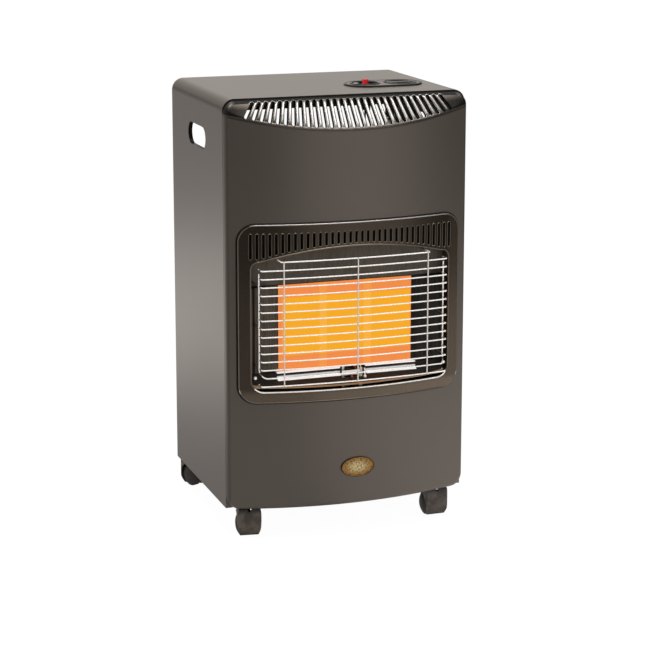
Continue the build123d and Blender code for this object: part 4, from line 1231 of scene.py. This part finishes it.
def paleFloor():
    v = floorLook
    mesh = bmesh.new()
    bmesh.ops.create_grid(mesh, x_segments=2, y_segments=2, size=v["half"])
    data = bpy.data.meshes.new("paleFloor")
    mesh.to_mesh(data)
    mesh.free()
    piece = placed("paleFloor", data)
    f = Finish("paleFloor", Roughness=v["rough"], Base_Color=v["grey"])
    seen = f.node("LightPath", out="Is Camera Ray")
    gloss = f.node("LightPath", out="Is Glossy Ray")
    through = f.node("LightPath", out="Is Transmission Ray")
    level = gloss * floorGloss(f) + (1.0 - gloss) * v["white"]
    light = f.node("Emission", sockets={"Color": (1, 1, 1, 1), "Strength": level})
    show = (seen + gloss + through).clamped() * v["show"]
    both = f.node("MixShader", sockets={0: show, 1: Wire(f.tree, f.shader.outputs[0]), 2: light})
    f.tree.links.new(both.socket, f.tree.nodes["Material Output"].inputs["Surface"])
    piece.data.materials.append(f.made)


studio = {
    "plain": 0.7, "warm": (1.0, 0.975, 0.945, 1.0), "white": (1.0, 1.0, 1.0, 1.0), "least": 0.04,
    "behind": (0.1, 0.9), "behindUp": (-0.05, 0.16), "behindShare": 0.35, "behindMore": 0.4,
    "behindRight": (-0.3, 0.3), "behindEnd": (0.45, 0.65), "aboveWay": (0.18, -0.26, 0.95),
    "above": (0.88, 0.99), "aboveShare": 2.5, "lane": (0.86, 0.995), "laneShare": 0.3,
    "left": (0.35, 0.9), "leftShare": 0.3,
}


def studioWorld():
    # white to the eye; for gloss, bright overhead and behind, dim in front
    v = studio
    world = bpy.data.worlds.new("studio")
    bpy.context.scene.world = world
    world.use_nodes = True
    tree = world.node_tree
    back = tree.nodes["Background"]
    f = Graph(tree)
    seen = f.node("LightPath", out="Is Camera Ray")
    gloss = f.node("LightPath", out="Is Glossy Ray")
    x, y, z = f.split(f.node("TexCoord", out="Generated"))
    behind = y.soft(*v["behind"]) * z.soft(*v["behindUp"])
    behind = behind * (v["behindShare"] + v["behindMore"] * x.soft(*v["behindRight"]))
    behind = behind * (1.0 - x.soft(*v["behindEnd"]))
    wayX, wayY, wayZ = v["aboveWay"]
    above = v["aboveShare"] * (x * wayX + y * wayY + z * wayZ).soft(*v["above"])
    lane = x * floorLook["aheadX"] + y * floorLook["aheadY"]
    lane = v["laneShare"] * lane.soft(*v["lane"])
    left = v["leftShare"] * (-x).soft(*v["left"])
    shade = behind.most(above).most(lane).most(left).most(v["least"])
    level = seen + (1.0 - seen) * (gloss * shade + (1.0 - gloss) * v["plain"])
    tree.links.new(level.socket, back.inputs["Strength"])
    tint = f.mix(seen, v["warm"], v["white"])
    tree.links.new(tint.socket, back.inputs["Color"])


lamps = {
    "overhead": {"place": (-0.3, 0.2, 2.6), "aim": (0, 0, 0.5), "size": (2.4, 2.0), "watts": 26},
    "leftBack": {"place": (-2.4, 0.9, 1.1), "aim": (0, 0, 0.45), "size": (1.4, 2.0), "watts": 18},
    "rightFront": {"place": (1.4, -2.6, 1.2), "aim": (0, 0, 0.4), "size": (1.2, 2.0), "watts": 26},
    "topStrip": {"place": (0.1, -0.45, 2.4), "aim": (0, -0.15, 0.5), "size": (2.6, 0.16), "watts": 9},
}
lampsInGloss = ("topStrip",)


def softBox(name, look):
    data = bpy.data.lights.new(name, "AREA")
    data.shape = "RECTANGLE"
    data.size, data.size_y = look["size"]
    data.energy = look["watts"]
    lamp = placed(name, data)
    lamp.location = look["place"]
    way = Vector(look["aim"]) - Vector(look["place"])
    lamp.rotation_euler = way.to_track_quat("-Z", "Y").to_euler()
    lamp.visible_glossy = name in lampsInGloss


# The focal length and the shift are in pixels of a picture as wide as picture says.

camera = {"focus": 2031.7, "shift": -64.6, "picture": 645, "sensor": 36.0, "far": 60.0,
          "place": (-1.11027, -3.25858, 1.14809), "down": 11.711, "turned": -19.028}


def photoCamera():
    v = camera
    data = bpy.data.cameras.new("photoCamera")
    data.sensor_width = v["sensor"]
    data.lens = v["focus"] * v["sensor"] / v["picture"]
    data.shift_y = v["shift"] / v["picture"]
    data.clip_end = v["far"]
    piece = placed("photoCamera", data)
    piece.location = v["place"]
    piece.rotation_euler = (math.radians(90 - v["down"]), 0, math.radians(v["turned"]))
    bpy.context.scene.camera = piece


paleFloor()
studioWorld()
for name, look in lamps.items():
    softBox(name, look)
photoCamera()
bpy.context.scene.view_settings.view_transform = "Standard"
print("stage ready")
